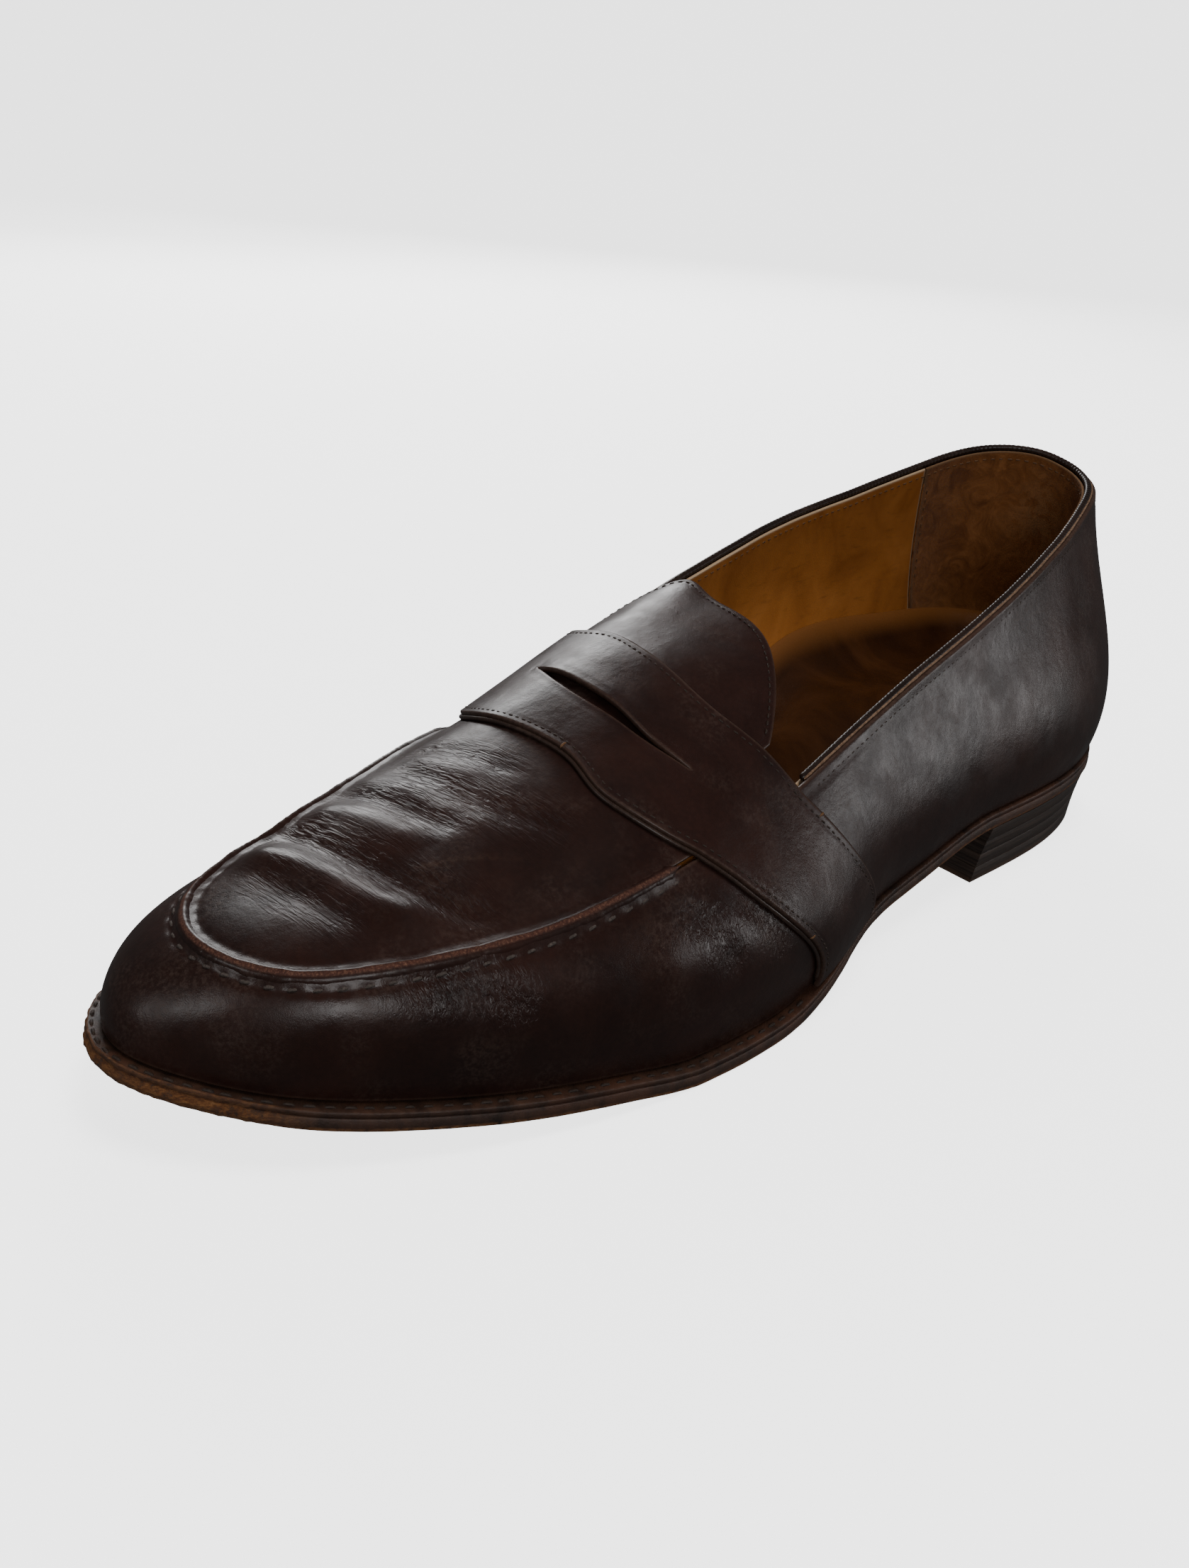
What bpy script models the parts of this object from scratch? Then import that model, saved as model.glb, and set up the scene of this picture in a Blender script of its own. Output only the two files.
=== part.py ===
"""A man's penny loafer, left shoe, as separate leather, cork and steel pieces.

The upper is one smooth last surface, P(turn, rise).  `turn` runs once round
the shoe: 0 at the heel's back, over the lateral (outer) side to 1 at the toe,
and back over the medial (inner) side to 2.  `rise` is 0 at the feather edge,
where the upper meets the welt, 1 on the shoulder line, which is the topline
behind and the apron seam in front, and 2 on the ridge of the instep.  Every
leather piece is a patch of that surface between two depths.

Lengths in the tables are millimetres.  `reach` is measured from the heel's
back towards the toe.  In the world +X is lateral, -Y is the toe and +Z is up.
"""

import math

import bmesh
import bpy
import numpy as np
from mathutils import Matrix, Vector

MM = 0.001
HALF_LENGTH = 150.0

# Height of the sole's underside along the reach: heel seat, shank, tread, toe spring.
SOLE_UNDERSIDE = (
    (-4, 15.4), (30, 15.4), (60, 15.4), (82, 15.4), (95, 13.9), (107, 11.6),
    (120, 9.0), (135, 6.1), (150, 3.5), (163, 1.4), (174, 0.1), (188, 0.0),
    (203, 0.1), (216, 1.8), (236, 3.7), (256, 5.8), (276, 8.3), (297, 12.2),
)
HEEL_SEAT_END = 82.0
TREAD_START = 175.0
TREAD_END = 203.0

SOLE_THICKNESS = 2.8
WELT_THICKNESS = 1.0
WELT_WIDTH = 9.0
INSOLE_THICKNESS = 2.2
SOCK_THICKNESS = 0.8
INSOLE_CLEARANCE = 0.45
# Heel pad under the sock: full thickness at the heel, thin where it ends under the arch.
PAD_THICKNESS = 11.0
PAD_THIN = 0.4
PAD_FULL_REACH = 85.0
PAD_SLOPE = 50.0
PAD_STATION = 7
SOCK_DROP_REACH = 138.0
SOCK_DROP_LENGTH = 14.0
SOCK_CLEARANCE = 0.75
GAP = 0.35

# Depths below the outer leather's face; negative is proud of it.
OUTER_LEATHER = (0.0, 1.3)
STIFFENER = (1.65, 2.45)
LINING = (2.8, 3.6)
STRAP_LEATHER = (-1.7, -0.4)
TAB_LEATHER = (-1.3, -0.4)
TONGUE_LINING = (1.65, 2.4)

# Stations from the heel's back to the toe.  Each row: feather out, feather
# reach, shoulder out, shoulder reach, shoulder height, then in degrees the lean
# out at the feather, the lean in at the shoulder and the climb of the instep
# from the shoulder, and last the ledge of sole outside the feather.
LATERAL = (
    (0.0, 1.0, -2.0, 5.3, 89.8, 20, 8, 82, 1.0),
    (14.0, 5.0, 6.0, 8.6, 88.3, 18, 8, 82, 1.0),
    (25.2, 15.0, 13.4, 17.6, 86.4, 17, 9, 81, 1.0),
    (32.8, 33.0, 19.6, 35.0, 82.0, 18, 10, 80, 1.0),
    (36.0, 62.0, 25.0, 62.0, 74.3, 18, 11, 79, 1.0),
    (36.0, 91.0, 28.3, 95.0, 65.0, 20, 12, 78, 1.0),
    (36.5, 113.0, 31.0, 131.0, 55.5, 22, 18, 62, 1.0),
    (37.5, 132.5, 33.5, 161.0, 47.0, 20, 34, 56, 1.2),
    (42.0, 149.5, 35.3, 179.0, 44.0, 18, 40, 50, 1.8),
    (45.5, 166.0, 36.5, 197.5, 42.0, 15, 46, 43, 2.6),
    (46.8, 190.0, 37.0, 210.5, 40.8, 13, 48, 36, 3.0),
    (44.5, 213.0, 35.5, 224.5, 38.3, 12, 52, 30, 3.0),
    (38.8, 235.0, 31.5, 240.5, 36.2, 11, 55, 27, 3.0),
    (30.0, 256.0, 24.5, 258.0, 34.7, 10, 57, 26, 3.0),
    (18.5, 274.5, 15.0, 271.3, 33.5, 8, 60, 26, 3.0),
    (5.0, 286.5, 3.0, 276.8, 33.0, 6, 62, 25, 3.1),
    (-7.5, 291.2, -7.5, 276.8, 33.0, 5, 63, 25, 3.2),
)
MEDIAL = (
    (0.0, 1.0, -2.0, 5.3, 89.8, 20, 8, 82, 1.0),
    (-14.0, 4.5, -12.5, 6.0, 91.0, 20, 8, 82, 1.0),
    (-25.0, 14.5, -24.0, 14.5, 90.0, 22, 9, 81, 1.0),
    (-29.8, 33.0, -31.0, 33.0, 86.0, 22, 8, 82, 1.0),
    (-28.5, 62.0, -35.0, 61.0, 80.0, 26, 8, 82, 1.0),
    (-24.5, 90.0, -36.0, 92.0, 75.0, 32, 9, 81, 1.0),
    (-24.0, 113.0, -35.0, 124.0, 67.5, 34, 12, 46, 1.0),
    (-26.5, 134.0, -36.8, 153.0, 56.5, 32, 24, 44, 1.2),
    (-32.0, 152.0, -37.5, 172.0, 48.5, 26, 34, 44, 1.8),
    (-38.5, 170.0, -37.8, 189.0, 42.3, 20, 42, 40, 2.6),
    (-43.5, 190.0, -36.0, 204.0, 41.0, 15, 46, 36, 3.0),
    (-43.8, 212.0, -31.8, 219.0, 40.0, 12, 50, 31, 3.0),
    (-42.3, 233.0, -27.8, 234.0, 38.7, 11, 54, 27, 3.0),
    (-39.0, 253.0, -25.2, 249.0, 36.3, 10, 57, 26, 3.0),
    (-32.5, 272.0, -22.0, 262.5, 34.2, 8, 60, 26, 3.0),
    (-20.5, 286.5, -16.2, 272.0, 33.2, 6, 62, 25, 3.1),
    (-7.5, 291.2, -7.5, 276.8, 33.0, 5, 63, 25, 3.2),
)
# Ridge of the instep: out, reach, height, and the reach where each station's
# section crosses it.  The sections round the toe all end at the pole.
RIDGE = (
    (-9.0, 120.0, 74.0), (-8.0, 143.0, 70.3), (-3.0, 171.0, 65.2), (-1.0, 187.0, 60.3),
    (0.0, 202.0, 54.3), (0.0, 217.0, 49.3), (-1.0, 231.0, 45.0), (-2.5, 243.0, 41.8),
    (-4.5, 257.0, 38.3), (-6.0, 270.0, 35.5),
)
RIDGE_POLE = 257.0
FIRST_CROSSING = 4
CROSSINGS = (96.0, 120.0, 143.0, 171.0, 187.0, 202.0, 217.0, 231.0, 243.0, 252.0, 257.5, 259.0, 259.0)

# Stations that pieces start or end on.
GRIP_STATION = 3.0
COUNTER_STATION = 4.1
TONGUE_STATION = 6
STRAP_REAR = 7
STRAP_MIDDLE = 8
STRAP_FRONT = 9
PUFF_STATION = 12
COUNTER_RISES = (0.06, 0.72)
PUFF_RISES = (0.06, 1.5)
POLE_STATION = 13.9

# Share of a section's length that its bezier handles take.
HANDLE = 0.38

# Grid of the patches.
COLUMNS_PER_STATION = 2
WALL_ROWS = (0.14, 0.3, 0.48, 0.66, 0.82, 0.92)
OVER_ROWS = (1.0, 1.12, 1.3, 1.5, 1.72, 1.9)
STRAP_ROWS = (0.02,) + WALL_ROWS + OVER_ROWS
WALL_TOP = 0.992
APRON_EDGE = 1.008
BUTT = 0.0014
PLATE_SHARES = (0, 0.12, 0.35, 0.65, 0.88, 1.0)

WELT_INSET = 0.4
FILLER_STATION = 8.2
SHANK_START = 3.8
SHANK_END = 8.0
SHANK_WIDTH = 13.0
SHANK_THICKNESS = 1.2

LIFT_COUNT = 3
TOP_PIECE_THICKNESS = 4.2
HEEL_STATION = 6
HEEL_LENGTH = 80.5
HEEL_SLANT = -2.5
HEEL_TAPER = 2.0
HEEL_INSET = 0.3
HEEL_HOLLOW = 2.0
BREAST_CORNER = 4.0
NAIL_PLACES = ((0, 14), (16, 24), (-15, 24), (14, 44), (-14, 44))
NAIL_RADIUS = 0.9
NAIL_HEAD_RADIUS = 1.7
NAIL_HEAD_THICKNESS = 0.8
NAIL_END = 5.5
NAIL_SINK = 0.1
NAIL_SIDES = 10

# How far the strap's edges bow towards the toe from their stations, as lane and turn.
STRAP_REAR_BOW = (
    (-2.0, 0.018), (-1.6, 0.014), (-1.38, 0.004), (-1.15, 0.0005), (-0.95, 0.009), (-0.75, 0.0135),
    (-0.5, 0.0155), (-0.25, 0.008), (0.0, 0.001), (0.15, 0.001), (0.3, 0.006), (0.55, 0.018),
    (0.8, 0.017), (0.98, 0.008), (1.15, 0.0005), (1.38, 0.004), (1.6, 0.014), (2.0, 0.018),
)
STRAP_FRONT_BOW = (
    (-2.0, -0.008), (-1.5, -0.012), (-1.2, -0.018), (-1.05, -0.012), (-0.92, 0.002), (-0.7, 0.018),
    (-0.5, 0.0195), (-0.25, 0.004), (-0.05, 0.0), (0.12, 0.005), (0.34, 0.017), (0.58, 0.026),
    (0.75, 0.022), (0.92, 0.006), (1.05, -0.01), (1.2, -0.018), (1.5, -0.012), (2.0, -0.008),
)
# Penny slit: its ends as lanes, the bow of its line and its full opening as a turn.
SLIT_LATERAL = -0.6
SLIT_MEDIAL = 0.47
SLIT_BOW = ((-0.6, 0.0135), (-0.4, 0.0145), (-0.2, 0.0095), (0.0, 0.007), (0.2, 0.0072), (0.47, 0.0088))
SLIT_FADE_LANE = 0.25
SLIT_OPENING = ((-0.6, 0.0012), (-0.4, 0.003), (-0.2, 0.0082), (0.05, 0.0104), (0.28, 0.0078), (0.47, 0.0012))

TONGUE_LANES = 17
TONGUE_ROWS = 5
TONGUE_ROUNDING = 0.9
TONGUE_CORNER_SHARE = 0.9
TONGUE_LATERAL = -0.78
TONGUE_MEDIAL = 0.96
TONGUE_REAR_STATION = 5.95
# Hinge line of the tongue, where it leaves the strap on the ridge: out, reach, height.
TONGUE_AXIS = (0.0, 171.0, 66.2)

TAB_HALF_TURN = 0.022
TAB_RISES = (0.76, 0.97)
PIPING_RADIUS = 0.5
PIPING_LIFT = 0.5
PIPING_RISE = 0.996
PIPING_CLEARANCE_TURN = 0.006
THREAD_RADIUS = 0.35
THREAD_RISE = 0.93
THREAD_CLEARANCE_TURN = 0.008
WELT_THREAD_RADIUS = 0.3
WELT_THREAD_INSET = 0.9


# ---------------------------------------------------------------- curves

def spline(knots, values, period=None):
    """A C2 cubic through the values, natural at its ends or closed."""
    knots = np.asarray(knots, float)
    values = np.asarray(values, float)
    if period is not None:
        knots = np.append(knots, knots[0] + period)
        values = np.concatenate([values, values[:1]])
    count = len(knots)
    step = np.diff(knots)
    flat = values.reshape(count, -1)
    matrix = np.zeros((count, count))
    right = np.zeros((count, flat.shape[1]))
    slope = np.diff(flat, axis=0) / step[:, None]
    for i in range(1, count - 1):
        matrix[i, i - 1] = step[i - 1]
        matrix[i, i] = 2 * (step[i - 1] + step[i])
        matrix[i, i + 1] = step[i]
        right[i] = 6 * (slope[i] - slope[i - 1])
    if period is None:
        matrix[0, 0] = matrix[-1, -1] = 1
    else:
        matrix[0, 0] = 2 * (step[0] + step[-1])
        matrix[0, 1] = step[0]
        matrix[0, -2] = step[-1]
        right[0] = 6 * (slope[0] - slope[-1])
        matrix[-1, 0] = 1
        matrix[-1, -1] = -1
    bend = np.linalg.solve(matrix, right)

    def curve(at):
        at = np.asarray(at, float)
        place = at if period is None else knots[0] + np.mod(at - knots[0], period)
        i = np.clip(np.searchsorted(knots, place, side="right") - 1, 0, count - 2)
        width = step[i][..., None]
        b = (place - knots[i])[..., None] / width
        a = 1 - b
        out = a * flat[i] + b * flat[i + 1]
        out = out + ((a ** 3 - a) * bend[i] + (b ** 3 - b) * bend[i + 1]) * width ** 2 / 6
        return out[..., 0] if values.ndim == 1 else out

    return curve


def station_turns():
    """The turn of each station, spaced by the feather edge's mean length."""
    lateral = np.array(LATERAL)[:, :2]
    medial = np.array(MEDIAL)[:, :2]
    steps = [
        (np.linalg.norm(lateral[i + 1] - lateral[i]) + np.linalg.norm(medial[i + 1] - medial[i]))
        for i in range(len(LATERAL) - 1)
    ]
    total = np.concatenate([[0], np.cumsum(steps)])
    return total / total[-1]


TURNS = station_turns()
LOOP_KNOTS = np.concatenate([TURNS, 2 - TURNS[-2:0:-1]])
LOOP_ROWS = np.concatenate([np.array(LATERAL), np.array(MEDIAL)[-2:0:-1]])

loop_curve = spline(LOOP_KNOTS, LOOP_ROWS, period=2.0)
crossing_curve = spline(TURNS[FIRST_CROSSING:], CROSSINGS)
ridge_curve = spline([row[1] for row in RIDGE], [(row[0], row[2]) for row in RIDGE])
underside_curve = spline([row[0] for row in SOLE_UNDERSIDE], [row[1] for row in SOLE_UNDERSIDE])


def turn_of(station):
    """The turn at a station number on the lateral side, fractions allowed."""
    return float(np.interp(station, np.arange(len(TURNS)), TURNS))


def fold(turn):
    """Distance of a turn from the heel's back, the same on both sides."""
    turn = np.mod(turn, 2.0)
    return np.minimum(turn, 2.0 - turn)


def underside(reach):
    """Height of the sole's underside, flat at the heel seat and the tread."""
    height = np.maximum(underside_curve(reach), 0.0)
    height = np.where(reach < HEEL_SEAT_END, SOLE_UNDERSIDE[0][1], height)
    return np.where((reach > TREAD_START) & (reach < TREAD_END), 0.0, height)


def welt_top(reach):
    return underside(reach) + SOLE_THICKNESS + GAP + WELT_THICKNESS


def plan_normal(turn):
    """Horizontal outward normal of the feather edge, as (out, reach)."""
    step = 0.002
    along = loop_curve(turn + step)[..., :2] - loop_curve(turn - step)[..., :2]
    normal = np.stack([along[..., 1], -along[..., 0]], -1)
    return normal / np.linalg.norm(normal, axis=-1, keepdims=True)


def smooth(x):
    x = np.clip(x, 0, 1)
    return x * x * (3 - 2 * x)


def bezier(points, t):
    a, b, c, d = points
    t = t[..., None]
    return (1 - t) ** 3 * a + 3 * (1 - t) ** 2 * t * b + 3 * (1 - t) * t * t * c + t ** 3 * d


def lifted(plan, height):
    return np.concatenate([plan, height[..., None]], -1)


def ridge_point(turn):
    """The point on the ridge that a section ends on, and the ridge's slope there."""
    place = np.maximum(fold(turn), TURNS[FIRST_CROSSING])
    reach = np.minimum(crossing_curve(place), RIDGE_POLE)
    at = ridge_curve(reach)
    slope = ridge_curve(reach + 0.5)[..., 1] - ridge_curve(reach - 0.5)[..., 1]
    return np.stack([at[..., 0], reach, at[..., 1]], -1), slope


def crossing(turn, shoulder, ridge, slope):
    """Unit direction in which a section crosses the ridge or enters the pole."""
    w = fold(turn)
    other = loop_curve(2 - np.mod(turn, 2.0))[..., 2:4]
    across = other - shoulder[..., :2]
    across = across / (np.linalg.norm(across, axis=-1, keepdims=True) + 1e-9)
    inward = ridge[..., :2] - shoulder[..., :2]
    inward = inward / (np.linalg.norm(inward, axis=-1, keepdims=True) + 1e-9)
    pole = turn_of(POLE_STATION)
    mix = smooth((w - pole + 0.07) / 0.08)[..., None]
    plan = across * (1 - mix) + inward * mix
    plan = plan / (np.linalg.norm(plan, axis=-1, keepdims=True) + 1e-9)
    way = lifted(plan, slope * plan[..., 1])
    return way / np.linalg.norm(way, axis=-1, keepdims=True)


def last_point(turn, rise):
    """Points (out, reach, height) of the outer leather's face."""
    turn, rise = np.broadcast_arrays(np.asarray(turn, float), np.asarray(rise, float))
    row = loop_curve(turn)
    lean = np.radians(row[..., 5:8])
    normal = plan_normal(turn)
    feather = lifted(row[..., :2], welt_top(row[..., 1]) + GAP)
    shoulder = row[..., 2:5]
    length = np.linalg.norm(shoulder - feather, axis=-1)[..., None]
    lean_out = lifted(normal * np.sin(lean[..., :1]), np.cos(lean[..., 0]))
    lean_in = lifted(-normal * np.sin(lean[..., 1:2]), np.cos(lean[..., 1]))
    wall = bezier(
        (feather, feather + HANDLE * length * lean_out,
         shoulder - HANDLE * length * lean_in, shoulder),
        np.minimum(rise, 1.0) if rise.max() > 1.001 else rise,
    )
    if rise.max() <= 1.001:
        return wall
    ridge, slope = ridge_point(turn)
    width = np.linalg.norm(ridge - shoulder, axis=-1)[..., None]
    climb = lifted(-normal * np.cos(lean[..., 2:3]), np.sin(lean[..., 2]))
    over = bezier(
        (shoulder, shoulder + HANDLE * width * climb,
         ridge - HANDLE * width * crossing(turn, shoulder, ridge, slope), ridge),
        np.maximum(rise - 1.0, 0.0),
    )
    return np.where(rise[..., None] > 1.0, over, wall)


def world(point):
    """(out, reach, height) to (X, Y, Z), still in millimetres."""
    point = np.asarray(point, float)
    return np.stack([point[..., 0], HALF_LENGTH - point[..., 1], point[..., 2]], -1)


def outward(turn, rise):
    """Unit outward normals in world axes; a crease gets the mean of its two sides."""
    step = 0.004
    turn, rise = np.broadcast_arrays(np.asarray(turn, float), np.asarray(rise, float))

    def normal(low, high, middle):
        along = world(last_point(turn + step, middle)) - world(last_point(turn - step, middle))
        climb = world(last_point(turn, high)) - world(last_point(turn, low))
        cross = np.cross(climb, along)
        return cross / (np.linalg.norm(cross, axis=-1, keepdims=True) + 1e-12)

    below = normal(np.clip(rise - step, 0, 2), np.clip(rise, step, 2), np.minimum(rise, 1.985))
    above = normal(np.clip(rise, 0, 2 - step), np.clip(rise + step, 0, 2), np.minimum(rise, 1.985))
    above = np.where((rise >= 1.0)[..., None] & (fold(turn) < turn_of(TONGUE_STATION))[..., None],
                     below, above)
    mean = below + above
    mean = mean / np.linalg.norm(mean, axis=-1, keepdims=True)
    ridge, slope = ridge_point(turn)
    top = np.stack([np.zeros_like(slope), slope, np.ones_like(slope)], -1)
    top = top / np.linalg.norm(top, axis=-1, keepdims=True)
    near_ridge = smooth((rise - 1.9) / 0.1)[..., None]
    mean = mean * (1 - near_ridge) + top * near_ridge
    return mean / np.linalg.norm(mean, axis=-1, keepdims=True)


def layer(turn, rise, depth):
    """World points at a depth below the outer leather's face."""
    return world(last_point(turn, rise)) - outward(turn, rise) * depth


# ---------------------------------------------------------------- solids

def new_object(name, mesh_faces, material):
    """One closed solid from vertices in world millimetres and its faces."""
    vertices, faces = mesh_faces
    work = bmesh.new()
    points = [work.verts.new(tuple(float(c) * MM for c in vertex)) for vertex in vertices]
    for face in faces:
        corners = [points[i] for i in face]
        try:
            work.faces.new(corners)
        except ValueError:
            continue
    bmesh.ops.remove_doubles(work, verts=work.verts, dist=0.00002)
    bmesh.ops.dissolve_degenerate(work, dist=0.00001, edges=work.edges)
    bmesh.ops.recalc_face_normals(work, faces=work.faces)
    mesh = bpy.data.meshes.new(name)
    work.to_mesh(mesh)
    work.free()
    mesh.shade_smooth()
    mesh.set_sharp_from_angle(angle=math.radians(40))
    mesh.materials.append(material)
    thing = bpy.data.objects.new(name, mesh)
    bpy.context.scene.collection.objects.link(thing)
    return thing


def shell(outer, inner, active=None, joined_end=False):
    """Closed solid between two grids of points (columns by rows).

    Inactive cells are holes.  With joined_end the last row is where two halves
    of the piece meet, so it gets no wall.
    """
    columns, rows = outer.shape[:2]
    if active is None:
        active = np.ones((columns - 1, rows - 1), bool)
    points = np.concatenate([outer.reshape(-1, 3), inner.reshape(-1, 3)])
    shift = columns * rows

    def wall(a, b):
        return (a, b, b + shift, a + shift)

    faces = []
    for i in range(columns - 1):
        for j in range(rows - 1):
            if not active[i, j]:
                continue
            a = i * rows + j
            b, c, d = a + rows, a + rows + 1, a + 1
            faces.append((a, b, c, d))
            faces.append((a + shift, d + shift, c + shift, b + shift))
            if i == 0 or not active[i - 1, j]:
                faces.append(wall(d, a))
            if i == columns - 2 or not active[i + 1, j]:
                faces.append(wall(b, c))
            if j == 0 or not active[i, j - 1]:
                faces.append(wall(a, b))
            if (j == rows - 2 and not joined_end) or (j < rows - 2 and not active[i, j + 1]):
                faces.append(wall(c, d))
    return points, faces


def ring(sections):
    """Closed solid swept round a closed loop of closed sections."""
    count, corners = sections.shape[:2]
    faces = []
    for i in range(count):
        for j in range(corners):
            after = (i + 1) % count
            beside = (j + 1) % corners
            faces.append((i * corners + j, after * corners + j,
                          after * corners + beside, i * corners + beside))
    return sections.reshape(-1, 3), faces


def prism(top, bottom):
    """Closed solid between two level outlines with the same number of points."""
    count = len(top)
    faces = [tuple(range(count)), tuple(range(2 * count - 1, count - 1, -1))]
    for i in range(count):
        after = (i + 1) % count
        faces.append((i, i + count, after + count, after))
    return np.concatenate([top, bottom]), faces


def columns(start, end):
    """Turns from start to end on the shared grid, so that layers stay parallel."""
    grid = np.interp(np.arange(0, len(TURNS) - 1 + 1e-6, 1 / COLUMNS_PER_STATION),
                     np.arange(len(TURNS)), TURNS)
    whole = np.concatenate([grid, 2 - grid[-2:0:-1]])
    whole = np.concatenate([whole - 2, whole, whole + 2])
    clear = 0.25 * grid[1]
    inside = whole[(whole > start + clear) & (whole < end - clear)]
    return np.concatenate([[start], inside, [end]])


def rises(start, end, rows):
    inside = [row for row in rows if start + 0.02 < row < end - 0.02]
    return np.array([start, *inside, end])


def patch(turns, heights, depths, **options):
    turn, rise = np.meshgrid(turns, heights, indexing="ij")
    return shell(layer(turn, rise, depths[0]), layer(turn, rise, depths[1]), **options)


def across(widths, lanes, depths, **options):
    """Patch over the instep: lanes run from -2, lateral feather, to 2, medial."""
    turn = np.where(lanes < 0, widths, 2 - widths)
    rise = 2 - np.abs(lanes)
    return shell(layer(turn, rise, depths[0]), layer(turn, rise, depths[1]), **options)


def outline(turn, inset):
    """Plan points of the sole's edge moved in by an inset."""
    row = loop_curve(turn)
    return row[..., :2] + plan_normal(turn) * (row[..., 8] - inset)[..., None]


def feather_outline(turn, inset):
    return loop_curve(turn)[..., :2] - plan_normal(turn) * inset


def plate(turns, edge, base, thickness):
    """Sheet across the shoe between both sides of an outline, on a base height.

    base, and thickness if it varies, are functions of the reach.
    """
    share = np.array(PLATE_SHARES)[None, :, None]
    left = edge(turns)[:, None, :]
    right = edge(2 - turns)[:, None, :]
    plan = left * (1 - share) + right * share
    low = base(plan[..., 1])
    high = low + (thickness(plan[..., 1]) if callable(thickness) else thickness)
    return shell(world(lifted(plan, high)), world(lifted(plan, low)))


# ---------------------------------------------------------------- materials

def material(name, colour, roughness, metallic=0.0):
    made = bpy.data.materials.new(name)
    made.use_nodes = True
    shader = made.node_tree.nodes["Principled BSDF"]
    shader.inputs["Base Color"].default_value = (*colour, 1.0)
    shader.inputs["Roughness"].default_value = roughness
    shader.inputs["Metallic"].default_value = metallic
    made.diffuse_color = (*colour, 1.0)
    return made


def palette():
    return {
        "calf": material("waxed_calf", (0.045, 0.022, 0.016), 0.32),
        "tan": material("tan_lining", (0.33, 0.16, 0.05), 0.55),
        "suede": material("brown_suede", (0.16, 0.075, 0.03), 0.95),
        "sock": material("sock_leather", (0.12, 0.055, 0.025), 0.6),
        "sole": material("sole_leather", (0.14, 0.075, 0.045), 0.7),
        "edge": material("edge_leather", (0.06, 0.032, 0.022), 0.5),
        "board": material("insole_leather", (0.4, 0.26, 0.15), 0.8),
        "cork": material("cork", (0.42, 0.27, 0.15), 0.95),
        "steel": material("spring_steel", (0.5, 0.5, 0.5), 0.35, 1.0),
        "rubber": material("heel_rubber", (0.02, 0.018, 0.017), 0.8),
        "stiffener": material("stiffener_board", (0.5, 0.4, 0.28), 0.85),
        "thread": material("waxed_thread", (0.3, 0.26, 0.22), 0.7),
    }


# ---------------------------------------------------------------- bottom

def outsole_top(reach):
    return underside(reach) + SOLE_THICKNESS


def make_outsole(look):
    edge = lambda turns: outline(turns, 0.0)
    solid = plate(columns(0.0, 1.0), edge, underside, SOLE_THICKNESS)
    new_object("outsole", solid, look["sole"])


def make_welt(look):
    turns = columns(0.0, 2.0)[:-1]
    outer = outline(turns, WELT_INSET)
    inner = outline(turns, WELT_WIDTH)
    low = outsole_top(outer[:, 1]) + GAP
    low_in = outsole_top(inner[:, 1]) + GAP
    section = [
        world(lifted(outer, low)), world(lifted(outer, low + WELT_THICKNESS)),
        world(lifted(inner, low_in + WELT_THICKNESS)), world(lifted(inner, low_in)),
    ]
    new_object("welt", ring(np.stack(section, 1)), look["edge"])


def pad_thickness(reach):
    return PAD_THIN + (PAD_THICKNESS - PAD_THIN) * (1 - smooth((reach - PAD_FULL_REACH) / PAD_SLOPE))


def sock_lift(reach):
    """Height of the sock above the insole, over the heel pad and down in front of it."""
    return (pad_thickness(reach) + GAP) * (1 - smooth((reach - SOCK_DROP_REACH) / SOCK_DROP_LENGTH))


def make_footbed(look):
    turns = columns(0.0, 1.0)
    insole_base = lambda reach: welt_top(reach) + GAP
    pad_base = lambda reach: insole_base(reach) + INSOLE_THICKNESS + GAP
    sock_base = lambda reach: pad_base(reach) + sock_lift(reach)
    insole_edge = lambda turn: feather_outline(turn, LINING[1] + INSOLE_CLEARANCE)
    sock_edge = lambda turn: feather_outline(turn, LINING[1] + SOCK_CLEARANCE)
    insole = plate(turns, insole_edge, insole_base, INSOLE_THICKNESS)
    sock = plate(turns, sock_edge, sock_base, SOCK_THICKNESS)
    pad_turns = columns(0.0, turn_of(PAD_STATION))
    pad = plate(pad_turns, sock_edge, pad_base, pad_thickness)
    new_object("heel_pad", pad, look["cork"])
    new_object("insole", insole, look["board"])
    new_object("sock_lining", sock, look["sock"])


def make_filler(look):
    turns = columns(turn_of(FILLER_STATION), 1.0)
    base = lambda reach: outsole_top(reach) + GAP
    solid = plate(turns, lambda t: outline(t, WELT_WIDTH + GAP), base, WELT_THICKNESS)
    new_object("bottom_filler", solid, look["cork"])


def make_shank(look):
    turns = columns(turn_of(SHANK_START), turn_of(SHANK_END))

    def edge(turn):
        centre = 0.5 * (loop_curve(turn)[..., :2] + loop_curve(2 - turn)[..., :2])
        side = np.where(np.mod(turn, 2.0) < 1.0, 1.0, -1.0)
        return centre + np.stack([side * SHANK_WIDTH / 2, np.zeros_like(side)], -1)

    base = lambda reach: outsole_top(reach) + GAP
    new_object("shank", plate(turns, edge, base, SHANK_THICKNESS), look["steel"])


# ---------------------------------------------------------------- heel

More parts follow.
